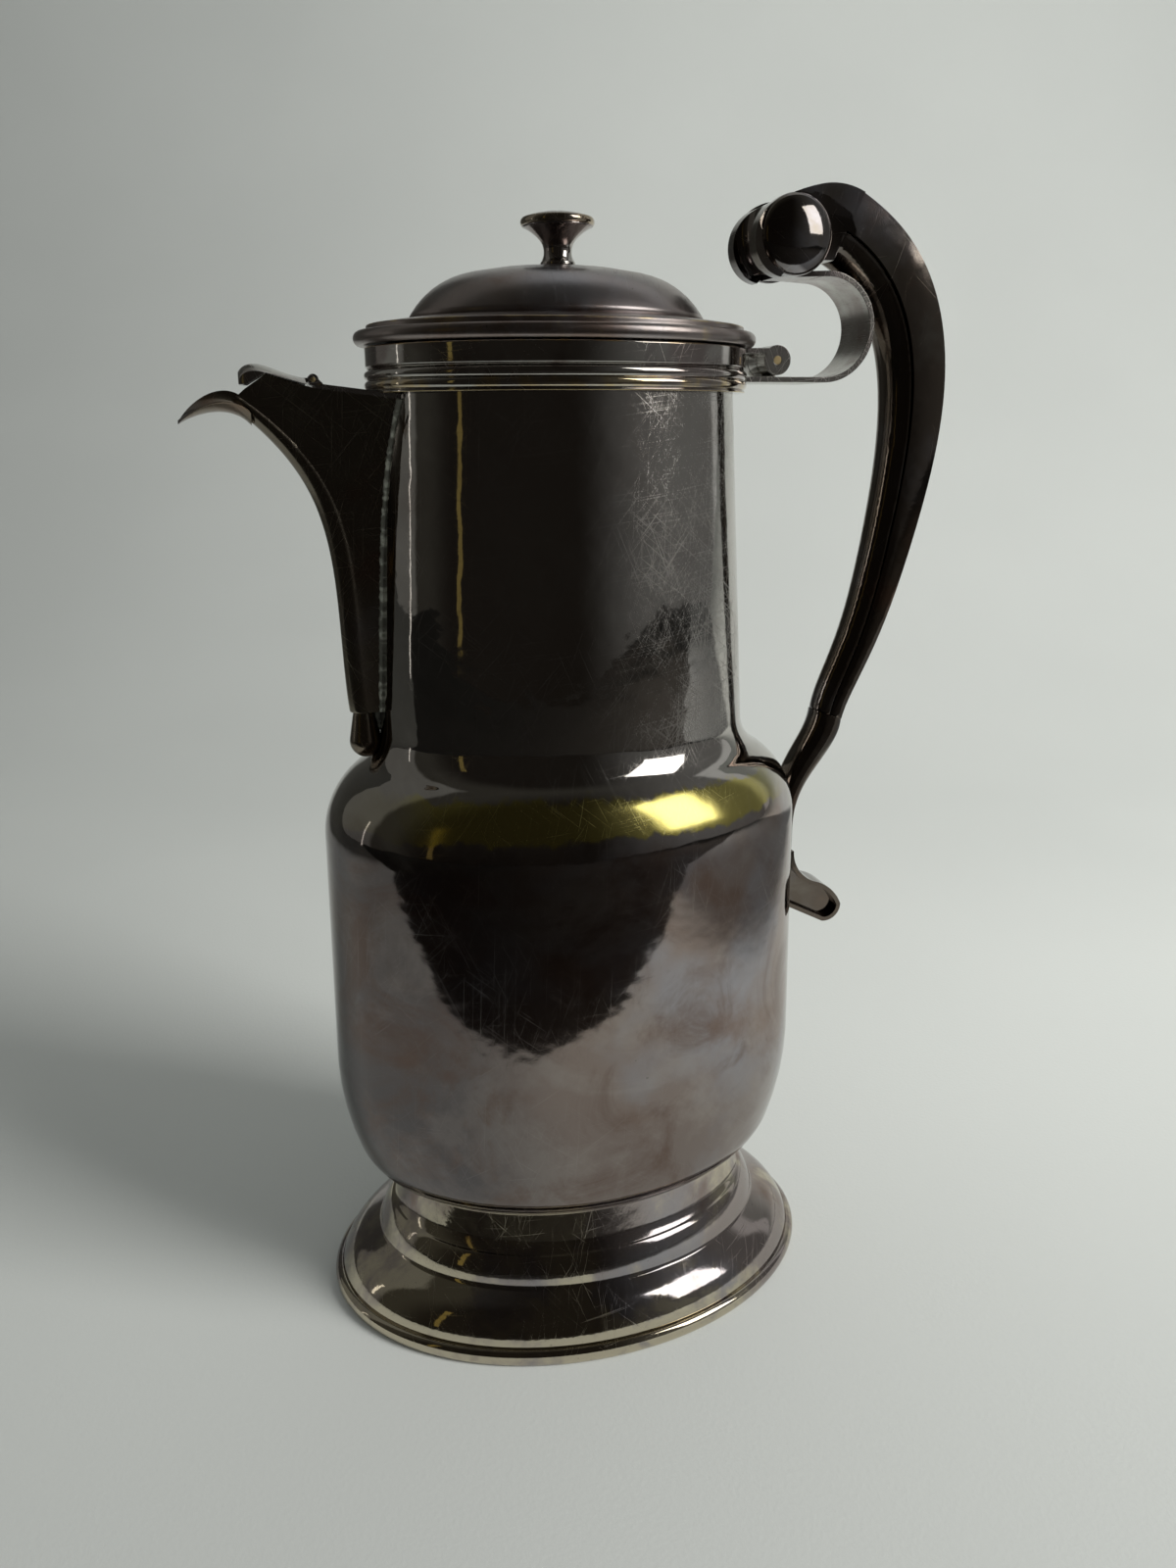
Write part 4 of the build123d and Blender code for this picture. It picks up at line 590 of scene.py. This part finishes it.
def make_tree(name, inputs):
    """An empty node tree with named inputs; returns the tree and its end nodes."""
    tree = bpy.data.node_groups.new(name, "GeometryNodeTree")
    for title, kind, default in inputs:
        socket = tree.interface.new_socket(title, in_out="INPUT", socket_type=kind)
        if default is not None:
            socket.default_value = default
    tree.interface.new_socket("Piece", in_out="OUTPUT", socket_type="NodeSocketGeometry")
    return tree, tree.nodes.new("NodeGroupInput"), tree.nodes.new("NodeGroupOutput")


def finish_tree(tree, begin, end, geometry):
    """Ends a tree in smooth faces, real instances and the material."""
    smooth = put(tree, "GeometryNodeSetShadeSmooth", {"Geometry": geometry})
    real = put(tree, "GeometryNodeRealizeInstances", {"Geometry": smooth.outputs[0]})
    inputs = {"Geometry": real.outputs[0], "Material": begin.outputs["Finish"]}
    dressed = put(tree, "GeometryNodeSetMaterial", inputs)
    tree.links.new(dressed.outputs[0], end.inputs[0])
    return tree


def oval_lathe_tree():
    """Turns a half outline round the upright axis and narrows it to an oval."""
    tree, begin, end = make_tree(
        "oval_lathe",
        [
            ("Profile", "NodeSocketGeometry", None),
            ("Oval ratio", "NodeSocketFloat", 0.73),
            ("Steps round", "NodeSocketInt", 192),
            ("Finish", "NodeSocketMaterial", None),
        ],
    )
    profile, steps = begin.outputs["Profile"], begin.outputs["Steps round"]

    def number(operation, *terms):
        return put(tree, "ShaderNodeMath", dict(enumerate(terms)), operation=operation).outputs[0]

    def sample(value, kind):
        inputs = {"Geometry": profile, "Value": value, "Index": along}
        return put(tree, "GeometryNodeSampleIndex", inputs, data_type=kind).outputs[0]

    size = put(tree, "GeometryNodeAttributeDomainSize", {0: profile}, component="MESH")
    count = size.outputs["Point Count"]
    index = put(tree, "GeometryNodeInputIndex").outputs[0]
    along = number("MODULO", index, count)
    round_step = number("FLOOR", number("DIVIDE", number("ADD", index, 0.5), count))
    angle = number("MULTIPLY", number("DIVIDE", round_step, steps), 2 * math.pi)
    grid = put(tree, "GeometryNodeMeshGrid", {"Vertices X": number("ADD", steps, 1.0), "Vertices Y": count})
    place = sample(put(tree, "GeometryNodeInputPosition").outputs[0], "FLOAT_VECTOR")
    edge = put(tree, "GeometryNodeInputNamedAttribute", {"Name": "edge"}, data_type="FLOAT").outputs[0]
    worn = sample(edge, "FLOAT")
    radius, _, height = put(tree, "ShaderNodeSeparateXYZ", {0: place}).outputs
    long_way = number("MULTIPLY", radius, number("COSINE", angle))
    round_way = number("MULTIPLY", radius, number("SINE", angle))
    narrow_way = number("MULTIPLY", round_way, begin.outputs["Oval ratio"])
    spot = put(tree, "ShaderNodeCombineXYZ", {0: long_way, 1: narrow_way, 2: height})
    inputs = {"Geometry": grid.outputs[0], "Name": "edge", "Value": worn}
    stored = put(tree, "GeometryNodeStoreNamedAttribute", inputs, data_type="FLOAT", domain="POINT")
    inputs = {"Geometry": stored.outputs[0], "Position": spot.outputs[0]}
    placed = put(tree, "GeometryNodeSetPosition", inputs)
    inputs = {"Geometry": placed.outputs[0], "Distance": MERGED}
    merged = put(tree, "GeometryNodeMergeByDistance", inputs)
    return finish_tree(tree, begin, end, merged.outputs[0])


def seam_tree():
    """Runs a lumpy round bead of solder along a line."""
    tree, begin, end = make_tree(
        "solder_seam",
        [
            ("Line", "NodeSocketGeometry", None),
            ("Radius", "NodeSocketFloat", 0.0006),
            ("Spacing", "NodeSocketFloat", 0.0006),
            ("Seed", "NodeSocketInt", 7),
            ("Finish", "NodeSocketMaterial", None),
        ],
    )
    curve = put(tree, "GeometryNodeMeshToCurve", {"Mesh": begin.outputs["Line"]})
    inputs = {"Curve": curve.outputs[0], "Length": begin.outputs["Spacing"]}
    even = put(tree, "GeometryNodeResampleCurve", inputs, mode="LENGTH")
    inputs = {2: 0.6, 3: 1.0, "Seed": begin.outputs["Seed"]}
    lump = put(tree, "FunctionNodeRandomValue", inputs, data_type="FLOAT")
    inputs = {0: lump.outputs[1], 1: begin.outputs["Radius"]}
    swell = put(tree, "ShaderNodeMath", inputs, operation="MULTIPLY")
    inputs = {"Curve": even.outputs[0], "Radius": swell.outputs[0]}
    sized = put(tree, "GeometryNodeSetCurveRadius", inputs)
    circle = put(tree, "GeometryNodeCurvePrimitiveCircle", {"Resolution": 10, "Radius": 1.0})
    scale = put(tree, "GeometryNodeInputRadius")
    inputs = {"Curve": sized.outputs[0], "Profile Curve": circle.outputs[0]}
    inputs.update({"Fill Caps": True, "Scale": scale.outputs[0]})
    tube = put(tree, "GeometryNodeCurveToMesh", inputs)
    return finish_tree(tree, begin, end, tube.outputs[0])


def run_tree(obj, tree, values):
    """Gives an object a node tree with its inputs, and makes the result a plain mesh."""
    modifier = obj.modifiers.new(tree.name, "NODES")
    modifier.node_group = tree
    for item in tree.interface.items_tree:
        if item.in_out == "INPUT" and item.name in values:
            modifier[item.identifier] = values[item.name]
    settle(obj)
    obj.data.name = obj.name
    if not obj.data.polygons:
        raise RuntimeError(f"{obj.name} came out empty")


def settle(obj):
    """Makes a plain mesh of an object and its modifiers."""
    graph = bpy.context.evaluated_depsgraph_get()
    obj.data = bpy.data.meshes.new_from_object(obj.evaluated_get(graph))
    obj.modifiers.clear()


def outward(mesh):
    """Merges doubles and points every face outwards."""
    work = bmesh.new()
    work.from_mesh(mesh)
    bmesh.ops.remove_doubles(work, verts=work.verts, dist=1e-7)
    bmesh.ops.recalc_face_normals(work, faces=work.faces)
    work.to_mesh(mesh)
    work.free()


# Pieces


def add_object(name, mesh):
    obj = bpy.data.objects.new(name, mesh)
    bpy.context.scene.collection.objects.link(obj)
    return obj


def new_mesh(name, points, edges=(), faces=()):
    """A mesh of points in metres."""
    mesh = bpy.data.meshes.new(name)
    mesh.from_pydata(points, edges, faces)
    return mesh


def line_mesh(name, points):
    """Points in metres, joined in their order."""
    return new_mesh(name, points, [(i, i + 1) for i in range(len(points) - 1)])


def turned(name, points, node, material, body="jug", oval=None):
    """A shell turned from a half outline, standing for a CAD node."""
    sizes = bpy.context.scene.jug_sizes
    tree = bpy.data.node_groups.get("oval_lathe") or oval_lathe_tree()
    whole = points + [points[0]]
    mesh = line_mesh(name, [(x * MM, 0.0, z * MM) for x, z, worn in whole])
    edge = mesh.attributes.new("edge", "FLOAT", "POINT")
    edge.data.foreach_set("value", [worn for x, z, worn in whole])
    obj = add_object(name, mesh)
    ratio = sizes.oval if oval is None else oval
    run_tree(obj, tree, {"Oval ratio": ratio, "Steps round": sizes.steps, "Finish": material})
    outward(obj.data)
    return stand_for(obj, node, body)


def stand_for(obj, node, body):
    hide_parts(node)
    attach(obj, body)
    return obj


def eased(node, material, body="jug", width=0.12):
    """A copy of a CAD node with merged corners, eased edges that carry the wear mark, and smooth faces."""
    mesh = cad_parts[node].data.copy()
    mesh.name = node + "_eased"
    mesh.materials.clear()
    mesh.materials.append(material)
    work = bmesh.new()
    work.from_mesh(mesh)
    bmesh.ops.remove_doubles(work, verts=work.verts, dist=MERGED)
    bmesh.ops.dissolve_limit(work, angle_limit=math.radians(0.4), verts=work.verts, edges=work.edges)
    joined = [e for e in work.edges if len(e.link_faces) == 2]
    crisp = [e for e in joined if e.calc_face_angle(0.0) > SHARP_EDGE]
    settings = {"offset": width * MM, "offset_type": "OFFSET", "segments": 2, "profile": 0.5}
    made = bmesh.ops.bevel(work, geom=crisp, affect="EDGES", clamp_overlap=True, **settings)
    mark = work.faces.layers.float.new("edge")
    for face in made["faces"]:
        if face.is_valid:
            face[mark] = 1.0
    for face in work.faces:
        face.smooth = True
        face.material_index = 0
    work.to_mesh(mesh)
    work.free()
    obj = add_object(node + "_eased", mesh)
    weighted = obj.modifiers.new("weighted", "WEIGHTED_NORMAL")
    weighted.mode = "FACE_AREA"
    weighted.weight = 60
    settle(obj)
    stand_for(obj, node, body)


def seam(name, points, radius, material):
    """A bead of solder along points in millimetres."""
    tree = bpy.data.node_groups.get("solder_seam") or seam_tree()
    obj = add_object(name, line_mesh(name, [Vector(p) * MM for p in points]))
    run_tree(obj, tree, {"Radius": radius * MM, "Finish": material, "Seed": len(points)})
    outward(obj.data)
    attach(obj, "jug")


def meeting_line(node, wall, side, spacing=2.5):
    """Points in millimetres down the line where a node meets an oval wall, on one side of the jug."""
    oval = bpy.context.scene.jug_sizes.oval
    lines = {}
    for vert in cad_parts[node].data.vertices:
        x, y, z = vert.co / MM
        off = math.hypot(x, y / oval) - wall(z)
        if y * side >= 0 and abs(off) < 0.15:
            row = round(z / spacing)
            if row not in lines or abs(y) > abs(lines[row][1]):
                lines[row] = (x, y, z)
    points = [lines[row] for row in sorted(lines)]
    if len(points) < 3:
        raise RuntimeError(f"{node} doesn't meet the wall")
    return points


def palette(key, maker, *values):
    """A worn material, made once and then found again by its name."""
    name = "worn_" + key
    made = bpy.data.materials.get(name)
    if made is None:
        made = maker(*values)
        made.name = name
    return made


def plate_for(key):
    """The plate of a group of pieces; a recipe changes the plain one where the pieces differ."""
    look = bpy.context.scene.jug_look
    plain = dict(silver=look.silver, haze=look.haze_light, haze_share=0.3, scratches=0.3)
    plain.update(wear=0.7, rough=0.03, blur=0.05, dents=0.00012)
    handle = dict(silver=look.silver_dark, haze=look.haze_dark, haze_share=0.45, scratches=0.25)
    spout = dict(silver=look.silver_olive, haze=look.haze_olive, haze_share=0.5)
    recipes = {
        "foot_plate": dict(silver=look.silver_bright, haze_share=0.22, wear=0.5),
        "collar_plate": dict(haze_share=0.15, wear=0.9, dents=0.00008),
        "lid_plate": dict(haze_share=0.75, rough=0.09, blur=0.18, wear=0.85),
        "knob_plate": dict(haze_share=0.3, wear=0.35),
        "handle_plate": dict(handle, wear=0.85, dents=0.00007),
        "strap_plate": dict(haze_share=0.3, rough=0.18, wear=0.5),
        "spout_plate": dict(spout, rough=0.12, wear=0.4),
        "flap_plate": dict(haze_share=0.35, rough=0.12, blur=0.12, wear=0.5),
    }
    return palette(key, plate_finish, key, look, {**plain, **recipes[key]})


def cheek_boss(name, side, material):
    """A round boss with a domed face, on one cheek of the handle's head."""
    rings, steps = 20, 72
    back = side * (BOSS_CHEEK - BOSS_SUNK)
    points = [Vector((BOSS_X, side * (BOSS_CHEEK + BOSS_RISE), BOSS_Z)) * MM]
    for ring in range(1, rings + 1):
        angle = math.radians(90 * (1 - ring / rings))
        out = side * (BOSS_CHEEK + BOSS_RISE * math.sin(angle))
        points += boss_ring(out, BOSS_RADIUS * math.cos(angle), steps)
    points += boss_ring(back, BOSS_RADIUS, steps)
    points.append(Vector((BOSS_X, back, BOSS_Z)) * MM)
    faces = []
    for step in range(steps):
        follow = (step + 1) % steps
        faces.append((0, 1 + step, 1 + follow))
        for ring in range(rings):
            low, high = 1 + ring * steps, 1 + (ring + 1) * steps
            faces.append((low + step, high + step, high + follow, low + follow))
        faces.append((1 + rings * steps + follow, 1 + rings * steps + step, len(points) - 1))
    mesh = new_mesh(name, points, faces=faces)
    round_faces = [len(face.vertices) == 4 or 0 in face.vertices for face in mesh.polygons]
    mesh.polygons.foreach_set("use_smooth", round_faces)
    mesh.materials.append(material)
    obj = add_object(name, mesh)
    outward(mesh)
    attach(obj, "jug")


def boss_ring(y, reach, steps):
    """Points in metres of a ring round the boss's middle line, which runs along Y."""
    turns = [2 * math.pi * step / steps for step in range(steps)]
    return [
        Vector((BOSS_X + reach * math.cos(turn), y, BOSS_Z + reach * math.sin(turn))) * MM for turn in turns
    ]


class JUG_OT_body(bpy.types.Operator):
    """Makes the oval body and neck, pierced into the spout"""

    bl_idname = "jug.body"
    bl_label = "Body and neck"

    def execute(self, context):
        material = palette("body_plate", body_finish, context.scene.jug_look)
        shell = turned("body_shell", body_shell(), "body", material)
        self.pierce(shell)
        return {"FINISHED"}

    def pierce(self, shell):
        """Opens the neck into the spout, wider at the top."""
        points = [Vector((x, y, z)) * MM for x in PIERCING_ENDS for y, z in PIERCING_SECTION]
        faces = [(0, 3, 2, 1), (4, 5, 6, 7)]
        faces += [(i, (i + 1) % 4, 4 + (i + 1) % 4, 4 + i) for i in range(4)]
        cutter = add_object("piercing", new_mesh("piercing", points, faces=faces))
        cut = shell.modifiers.new("piercing", "BOOLEAN")
        cut.object = cutter
        cut.operation = "DIFFERENCE"
        cut.solver = "EXACT"
        settle(shell)
        bpy.data.objects.remove(cutter)
        if len(shell.data.polygons) < 1000:
            raise RuntimeError("the piercing took the shell away")


class JUG_OT_foot(bpy.types.Operator):
    """Makes the stepped foot and its rim wire"""

    bl_idname = "jug.foot"
    bl_label = "Foot"

    def execute(self, context):
        material = plate_for("foot_plate")
        turned("foot_shell", foot_shell(), "foot", material)
        turned("foot_wire", rim_wire(), "foot_rim", material)
        return {"FINISHED"}


class JUG_OT_collar(bpy.types.Operator):
    """Makes the reeded wire and the plain band of the mouth"""

    bl_idname = "jug.collar"
    bl_label = "Collar"

    def execute(self, context):
        material = plate_for("collar_plate")
        turned("collar_reeds", reed_profile(), "reeded_wire", material)
        turned("collar_band", band_profile(), "mouth_band", material)
        return {"FINISHED"}


class JUG_OT_lid(bpy.types.Operator):
    """Makes the lid's rim, dome, bezel and knob"""

    bl_idname = "jug.lid"
    bl_label = "Lid and knob"

    def execute(self, context):
        material = plate_for("lid_plate")
        turned("lid_moulding", lid_rim_profile(), "lid_rim", material, "lid")
        turned("lid_crown", dome_profile(), "lid_dome", material, "lid")
        turned("lid_ring", bezel_profile(), "lid_bezel", material, "lid")
        knob = plate_for("knob_plate")
        turned("knob_trumpet", stem_profile(), "knob_stem", knob, "lid", oval=1.0)
        turned("knob_button", cap_profile(), "knob_cap", knob, "lid", oval=1.0)
        return {"FINISHED"}


class JUG_OT_hinge(bpy.types.Operator):
    """Makes the hinge, the scroll strap and its block"""

    bl_idname = "jug.hinge"
    bl_label = "Hinge and strap"

    def execute(self, context):
        strap = plate_for("strap_plate")
        eased("lid_leaf", strap, "lid")
        eased("hinge_knuckle", strap)
        eased("scroll_strap", strap)
        eased("strap_block", strap)
        pin = palette("pin_metal", pin_finish, context.scene.jug_look)
        eased("hinge_pin", pin)
        return {"FINISHED"}


class JUG_OT_handle(bpy.types.Operator):
    """Makes the handle's head, straps and lower scroll"""

    bl_idname = "jug.handle"
    bl_label = "Handle"

    def execute(self, context):
        material = plate_for("handle_plate")
        eased("handle_back", material, width=0.5)
        eased("handle_front", material, width=0.2)
        eased("handle_scroll", material, width=0.25)
        for side, name in SIDES:
            cheek_boss(f"head_boss_{name}", side, material)
        return {"FINISHED"}


class JUG_OT_spout(bpy.types.Operator):
    """Makes the spout with its lip, roof, flap and drop"""

    bl_idname = "jug.spout"
    bl_label = "Spout"

    def execute(self, context):
        material = plate_for("spout_plate")
        eased("spout", material)
        eased("spout_lip", material)
        flap = plate_for("flap_plate")
        eased("spout_roof", flap)
        eased("spout_flap", flap, "flap")
        eased("flap_pin", palette("pin_metal", pin_finish, context.scene.jug_look))
        eased("spout_drop", material)
        return {"FINISHED"}


class JUG_OT_solder(bpy.types.Operator):
    """Makes the solder along the spout and under the handle's lower scroll"""

    bl_idname = "jug.solder"
    bl_label = "Solder seams"

    def execute(self, context):
        metal = palette("solder", solder_finish, context.scene.jug_look)
        for side, name in SIDES:
            points = meeting_line("spout", neck_at, side)
            seam(f"spout_solder_{name}", points, SPOUT_BEAD, metal)
        seam("drop_solder", DROP_SOLDER, DROP_BEAD, metal)
        for side, name in SIDES:
            points = meeting_line("handle_scroll", body_at, side)
            seam(f"scroll_solder_{name}", points, SCROLL_BEAD, metal)
        return {"FINISHED"}


class JUG_OT_stage(bpy.types.Operator):
    """Makes the pale sheet, the soft light and the camera"""

    bl_idname = "jug.stage"
    bl_label = "Sheet, light and camera"

    def execute(self, context):
        stage = context.scene.jug_stage
        self.sheet(context.scene.jug_look)
        self.lamps(stage)
        self.world(context.scene, stage)
        self.camera(context.scene, stage)
        context.scene.view_settings.view_transform = "Standard"
        return {"FINISHED"}

    def sheet(self, look):
        """Paper that lies flat and sweeps up behind the jug."""
        half, back, front, bend, top = 2.2, 0.4, -1.1, 0.8, 2.0
        rows = [(front, 0.0), (back - 0.2, 0.0), (back, 0.0)]
        for step in range(1, 25):
            angle = math.radians(90 * step / 24)
            rows.append((back + bend * math.sin(angle), bend - bend * math.cos(angle)))
        rows.append((back + bend, top))
        turn = Matrix.Rotation(-math.atan2(*AHEAD), 4, "Z")
        points = [turn @ Vector((x, y, z)) for y, z in rows for x in (-half, half)]
        faces = [(i, i + 1, i + 3, i + 2) for i in range(0, 2 * len(rows) - 2, 2)]
        mesh = new_mesh("sheet", points, faces=faces)
        mesh.materials.append(palette("sheet_paper", sheet_finish, look))
        for face in mesh.polygons:
            face.use_smooth = True
        add_object("sheet", mesh)

    def lamps(self, stage):
        """A window, its daylight, which mirrors don't see, and two narrow lamps to the left."""
        for name, place, size, watts, color in (
            ("window", (0.92, -0.8, 0.78), (0.58, 0.82), stage.window_power, (1.0, 0.98, 0.94)),
            ("day", (0.92, -0.78, 0.76), (0.5, 0.85), stage.day_power, (1.0, 0.99, 0.97)),
            ("left_strip", (-0.88, 0.14, 0.22), (0.018, 0.34), stage.strip_power, (1.0, 0.96, 0.9)),
            ("gold_strip", (-0.74, -0.5, 0.32), (0.045, 0.5), stage.gold_power, (1.0, 0.76, 0.22)),
        ):
            lamp = bpy.data.lights.new(name, "AREA")
            lamp.shape = "RECTANGLE"
            lamp.size, lamp.size_y = size
            lamp.energy = watts
            lamp.color = color
            obj = add_object(name, lamp)
            obj.location = place
            obj.visible_camera = False
            obj.visible_glossy = name != "day"
            aim = Vector((0, 0, 0.12)) - Vector(place)
            obj.rotation_euler = aim.to_track_quat("-Z", "Y").to_euler()

    def world(self, scene, stage):
        """Mirrors see a pale room behind the jug and a dark one before it; the rest gets plain light."""
        world = bpy.data.worlds.new("room")
        scene.world = world
        world.use_nodes = True
        tree = world.node_tree
        tree.nodes.clear()

        def step(value, low, high):
            inputs = {0: value, 1: low, 2: high}
            return put(tree, "ShaderNodeMapRange", inputs, interpolation_type="SMOOTHSTEP").outputs[0]

        def mix(factor, first, second):
            inputs = {0: factor, 6: first, 7: second}
            return put(tree, "ShaderNodeMix", inputs, data_type="RGBA").outputs[2]

        place = put(tree, "ShaderNodeTexCoord").outputs["Generated"]
        aside, behind, _ = put(tree, "ShaderNodeSeparateXYZ", {0: place}).outputs
        room = mix(step(behind, -0.5, -0.1), rgb(stage.room_dark), rgb(stage.room_dim))
        room = mix(step(aside, 0.1, 0.85), room, rgb(stage.room_right))
        pale = mix(step(aside, -0.3, 0.3), rgb(stage.room_left), rgb(stage.room_pale))
        room = mix(step(behind, 0.03, 0.1), room, pale)
        rays = put(tree, "ShaderNodeLightPath")
        light = mix(rays.outputs["Is Glossy Ray"], rgb(stage.room), room)
        shown = mix(rays.outputs["Is Camera Ray"], light, rgb(stage.room_seen))
        back = put(tree, "ShaderNodeBackground", {"Color": shown, "Strength": 1.0})
        end = put(tree, "ShaderNodeOutputWorld", {"Surface": back.outputs[0]})
        end.is_active_output = True

    def camera(self, scene, stage):
        """The photograph's place: 27 cm from the jug, just below the height of its mouth, looking down."""
        lens = bpy.data.cameras.new("camera")
        lens.sensor_width = SENSOR
        lens.lens = SENSOR * PHOTO_FOCUS / PHOTO_HEIGHT
        lens.clip_start = 0.01
        obj = add_object("camera", lens)
        pitch = math.radians(stage.pitch)
        ahead = Vector((AHEAD[0] * math.cos(pitch), AHEAD[1] * math.cos(pitch), -math.sin(pitch)))
        turn = ahead.to_track_quat("-Z", "Y").to_matrix().to_4x4()
        turn = turn @ Matrix.Rotation(math.radians(stage.roll), 4, "Z")
        obj.matrix_world = Matrix.Translation(Vector(stage.camera) * MM) @ turn
        scene.camera = obj


# Settings and panel


def tint(title, words, value):
    return bpy.props.FloatVectorProperty(
        name=title, description=words, default=value, subtype="COLOR", size=3, min=0.0, max=1.0
    )


def amount(title, words, value, unit="NONE"):
    return bpy.props.FloatProperty(name=title, description=words, default=value, unit=unit)


def power(title, words, value):
    return amount(title, words, value, "POWER")


class JugSizes(bpy.types.PropertyGroup):
    """Sizes shared by the turned pieces"""

    oval: amount("Oval", "Narrow way over long way of the plan", 0.73)
    steps: bpy.props.IntProperty(name="Steps round", description="Facets round a turned piece", default=192)


class JugLook(bpy.types.PropertyGroup):
    """Colours of plate, brass and tarnish"""

    silver: tint("Silver", "Rubbed silver plate", (0.5, 0.48, 0.45))
    silver_bright: tint("Bright silver", "Silver plate of the foot", (0.58, 0.52, 0.4))
    silver_dark: tint("Dark silver", "Silver plate of the handle", (0.2, 0.18, 0.155))
    silver_olive: tint("Olive silver", "Silver plate of the spout", (0.38, 0.36, 0.28))
    # Lighter silver in scratches; on the body it is also a painted sheen in the hair scratches.
    scratch_and_sheen: tint("Scratch", "Bright hair scratches", (0.62, 0.6, 0.57))
    speck: tint("Speck", "Dark specks of tarnish", (0.1, 0.085, 0.075))
    haze: tint("Haze", "Purple brown tarnish of the body", (0.28, 0.225, 0.2))
    haze_brown: tint("Brown haze", "Brown blotches on the body", (0.15, 0.1, 0.08))
    # Darker lilac colour on the spout side and towards the bottom of the body.
    haze_spout_side_and_low: tint("Old haze", "Darker lilac tarnish on the spout side", (0.13, 0.12, 0.122))
    haze_light: tint("Light haze", "Pink grey tarnish of lid and foot", (0.34, 0.295, 0.28))
    haze_cool: tint("Cool haze", "Blue grey tarnish", (0.33, 0.33, 0.36))
    haze_warm: tint("Warm haze", "Red brown tarnish", (0.21, 0.135, 0.1))
    haze_olive: tint("Olive haze", "Green grey tarnish of the spout", (0.22, 0.19, 0.15))
    haze_dark: tint("Dark haze", "Dark tarnish of the handle", (0.14, 0.115, 0.095))
    brass: tint("Brass", "Bare brass at the edges", (0.66, 0.52, 0.28))
    brass_green: tint("Worn shoulder", "Bare brass on the shoulder", (0.5, 0.44, 0.12))
    sheet: tint("Sheet", "Paper under the jug", (0.72, 0.745, 0.72))
    # Colour of the painted shade on the paper, to the left and towards the camera.
    sheet_shade: tint("Sheet shade", "Paper away from the window", (0.46, 0.48, 0.465))
    sheet_corner: tint("Sheet corner", "What mirrors see right of the paper", (0.16, 0.165, 0.165))
    sheet_side: tint("Sheet side", "What mirrors see left of the paper", (0.12, 0.12, 0.11))


class JugStage(bpy.types.PropertyGroup):
    """Light, room and camera"""

    window_power: power("Window", "Power of the window as mirrors see it", 5.8)
    day_power: power("Daylight", "Power of the light that falls through the window", 17.5)
    strip_power: power("Left strip", "Power of the narrow lamp to the left", 0.022)
    gold_power: power("Gold strip", "Power of the narrow yellow lamp to the left", 0.012)
    room: tint("Room", "Plain light of the room", (0.3, 0.305, 0.3))
    room_pale: tint("Pale room", "What mirrors see behind the jug", (0.5, 0.51, 0.5))
    room_left: tint("Left room", "What mirrors see behind the jug on the left", (0.14, 0.14, 0.13))
    room_right: tint("Right room", "What mirrors see before the jug on the right", (0.15, 0.15, 0.145))
    room_dim: tint("Dim room", "What mirrors see to the sides", (0.04, 0.038, 0.032))
    room_dark: tint("Dark room", "What mirrors see before the jug", (0.014, 0.012, 0.01))
    room_seen: tint("Seen room", "What shows beyond the sheet", (0.6, 0.62, 0.6))
    camera: bpy.props.FloatVectorProperty(
        name="Camera", description="Place of the camera in millimetres", default=(-66.2, -262.0, 213.2)
    )
    pitch: amount("Pitch", "Degrees that the camera looks down", 17.06)
    roll: amount("Roll", "Degrees that the camera is rolled", -0.35)


class JUG_PT_panel(bpy.types.Panel):
    """Lists the jug's pieces and settings"""

    bl_idname = "JUG_PT_panel"
    bl_label = "Barber's jug"
    bl_space_type = "VIEW_3D"
    bl_region_type = "UI"
    bl_category = "Jug"

    def draw(self, context):
        for group in (context.scene.jug_sizes, context.scene.jug_look, context.scene.jug_stage):
            box = self.layout.box()
            for key in group.__annotations__:
                box.prop(group, key)
        for operator in PIECES:
            self.layout.operator(operator.bl_idname)


GROUPS = {"jug_sizes": JugSizes, "jug_look": JugLook, "jug_stage": JugStage}
PIECES = (
    JUG_OT_body,
    JUG_OT_foot,
    JUG_OT_collar,
    JUG_OT_lid,
    JUG_OT_hinge,
    JUG_OT_handle,
    JUG_OT_spout,
    JUG_OT_solder,
    JUG_OT_stage,
)


def register():
    for group in GROUPS.values():
        bpy.utils.register_class(group)
    for key, group in GROUPS.items():
        setattr(bpy.types.Scene, key, bpy.props.PointerProperty(type=group))
    for operator in PIECES:
        bpy.utils.register_class(operator)
    bpy.utils.register_class(JUG_PT_panel)


def unregister():
    bpy.utils.unregister_class(JUG_PT_panel)
    for operator in reversed(PIECES):
        bpy.utils.unregister_class(operator)
    for key, group in GROUPS.items():
        delattr(bpy.types.Scene, key)
        bpy.utils.unregister_class(group)


def main():
    register()
    for operator in PIECES:
        group, name = operator.bl_idname.split(".")
        getattr(getattr(bpy.ops, group), name)()


if __name__ == "__main__":
    main()
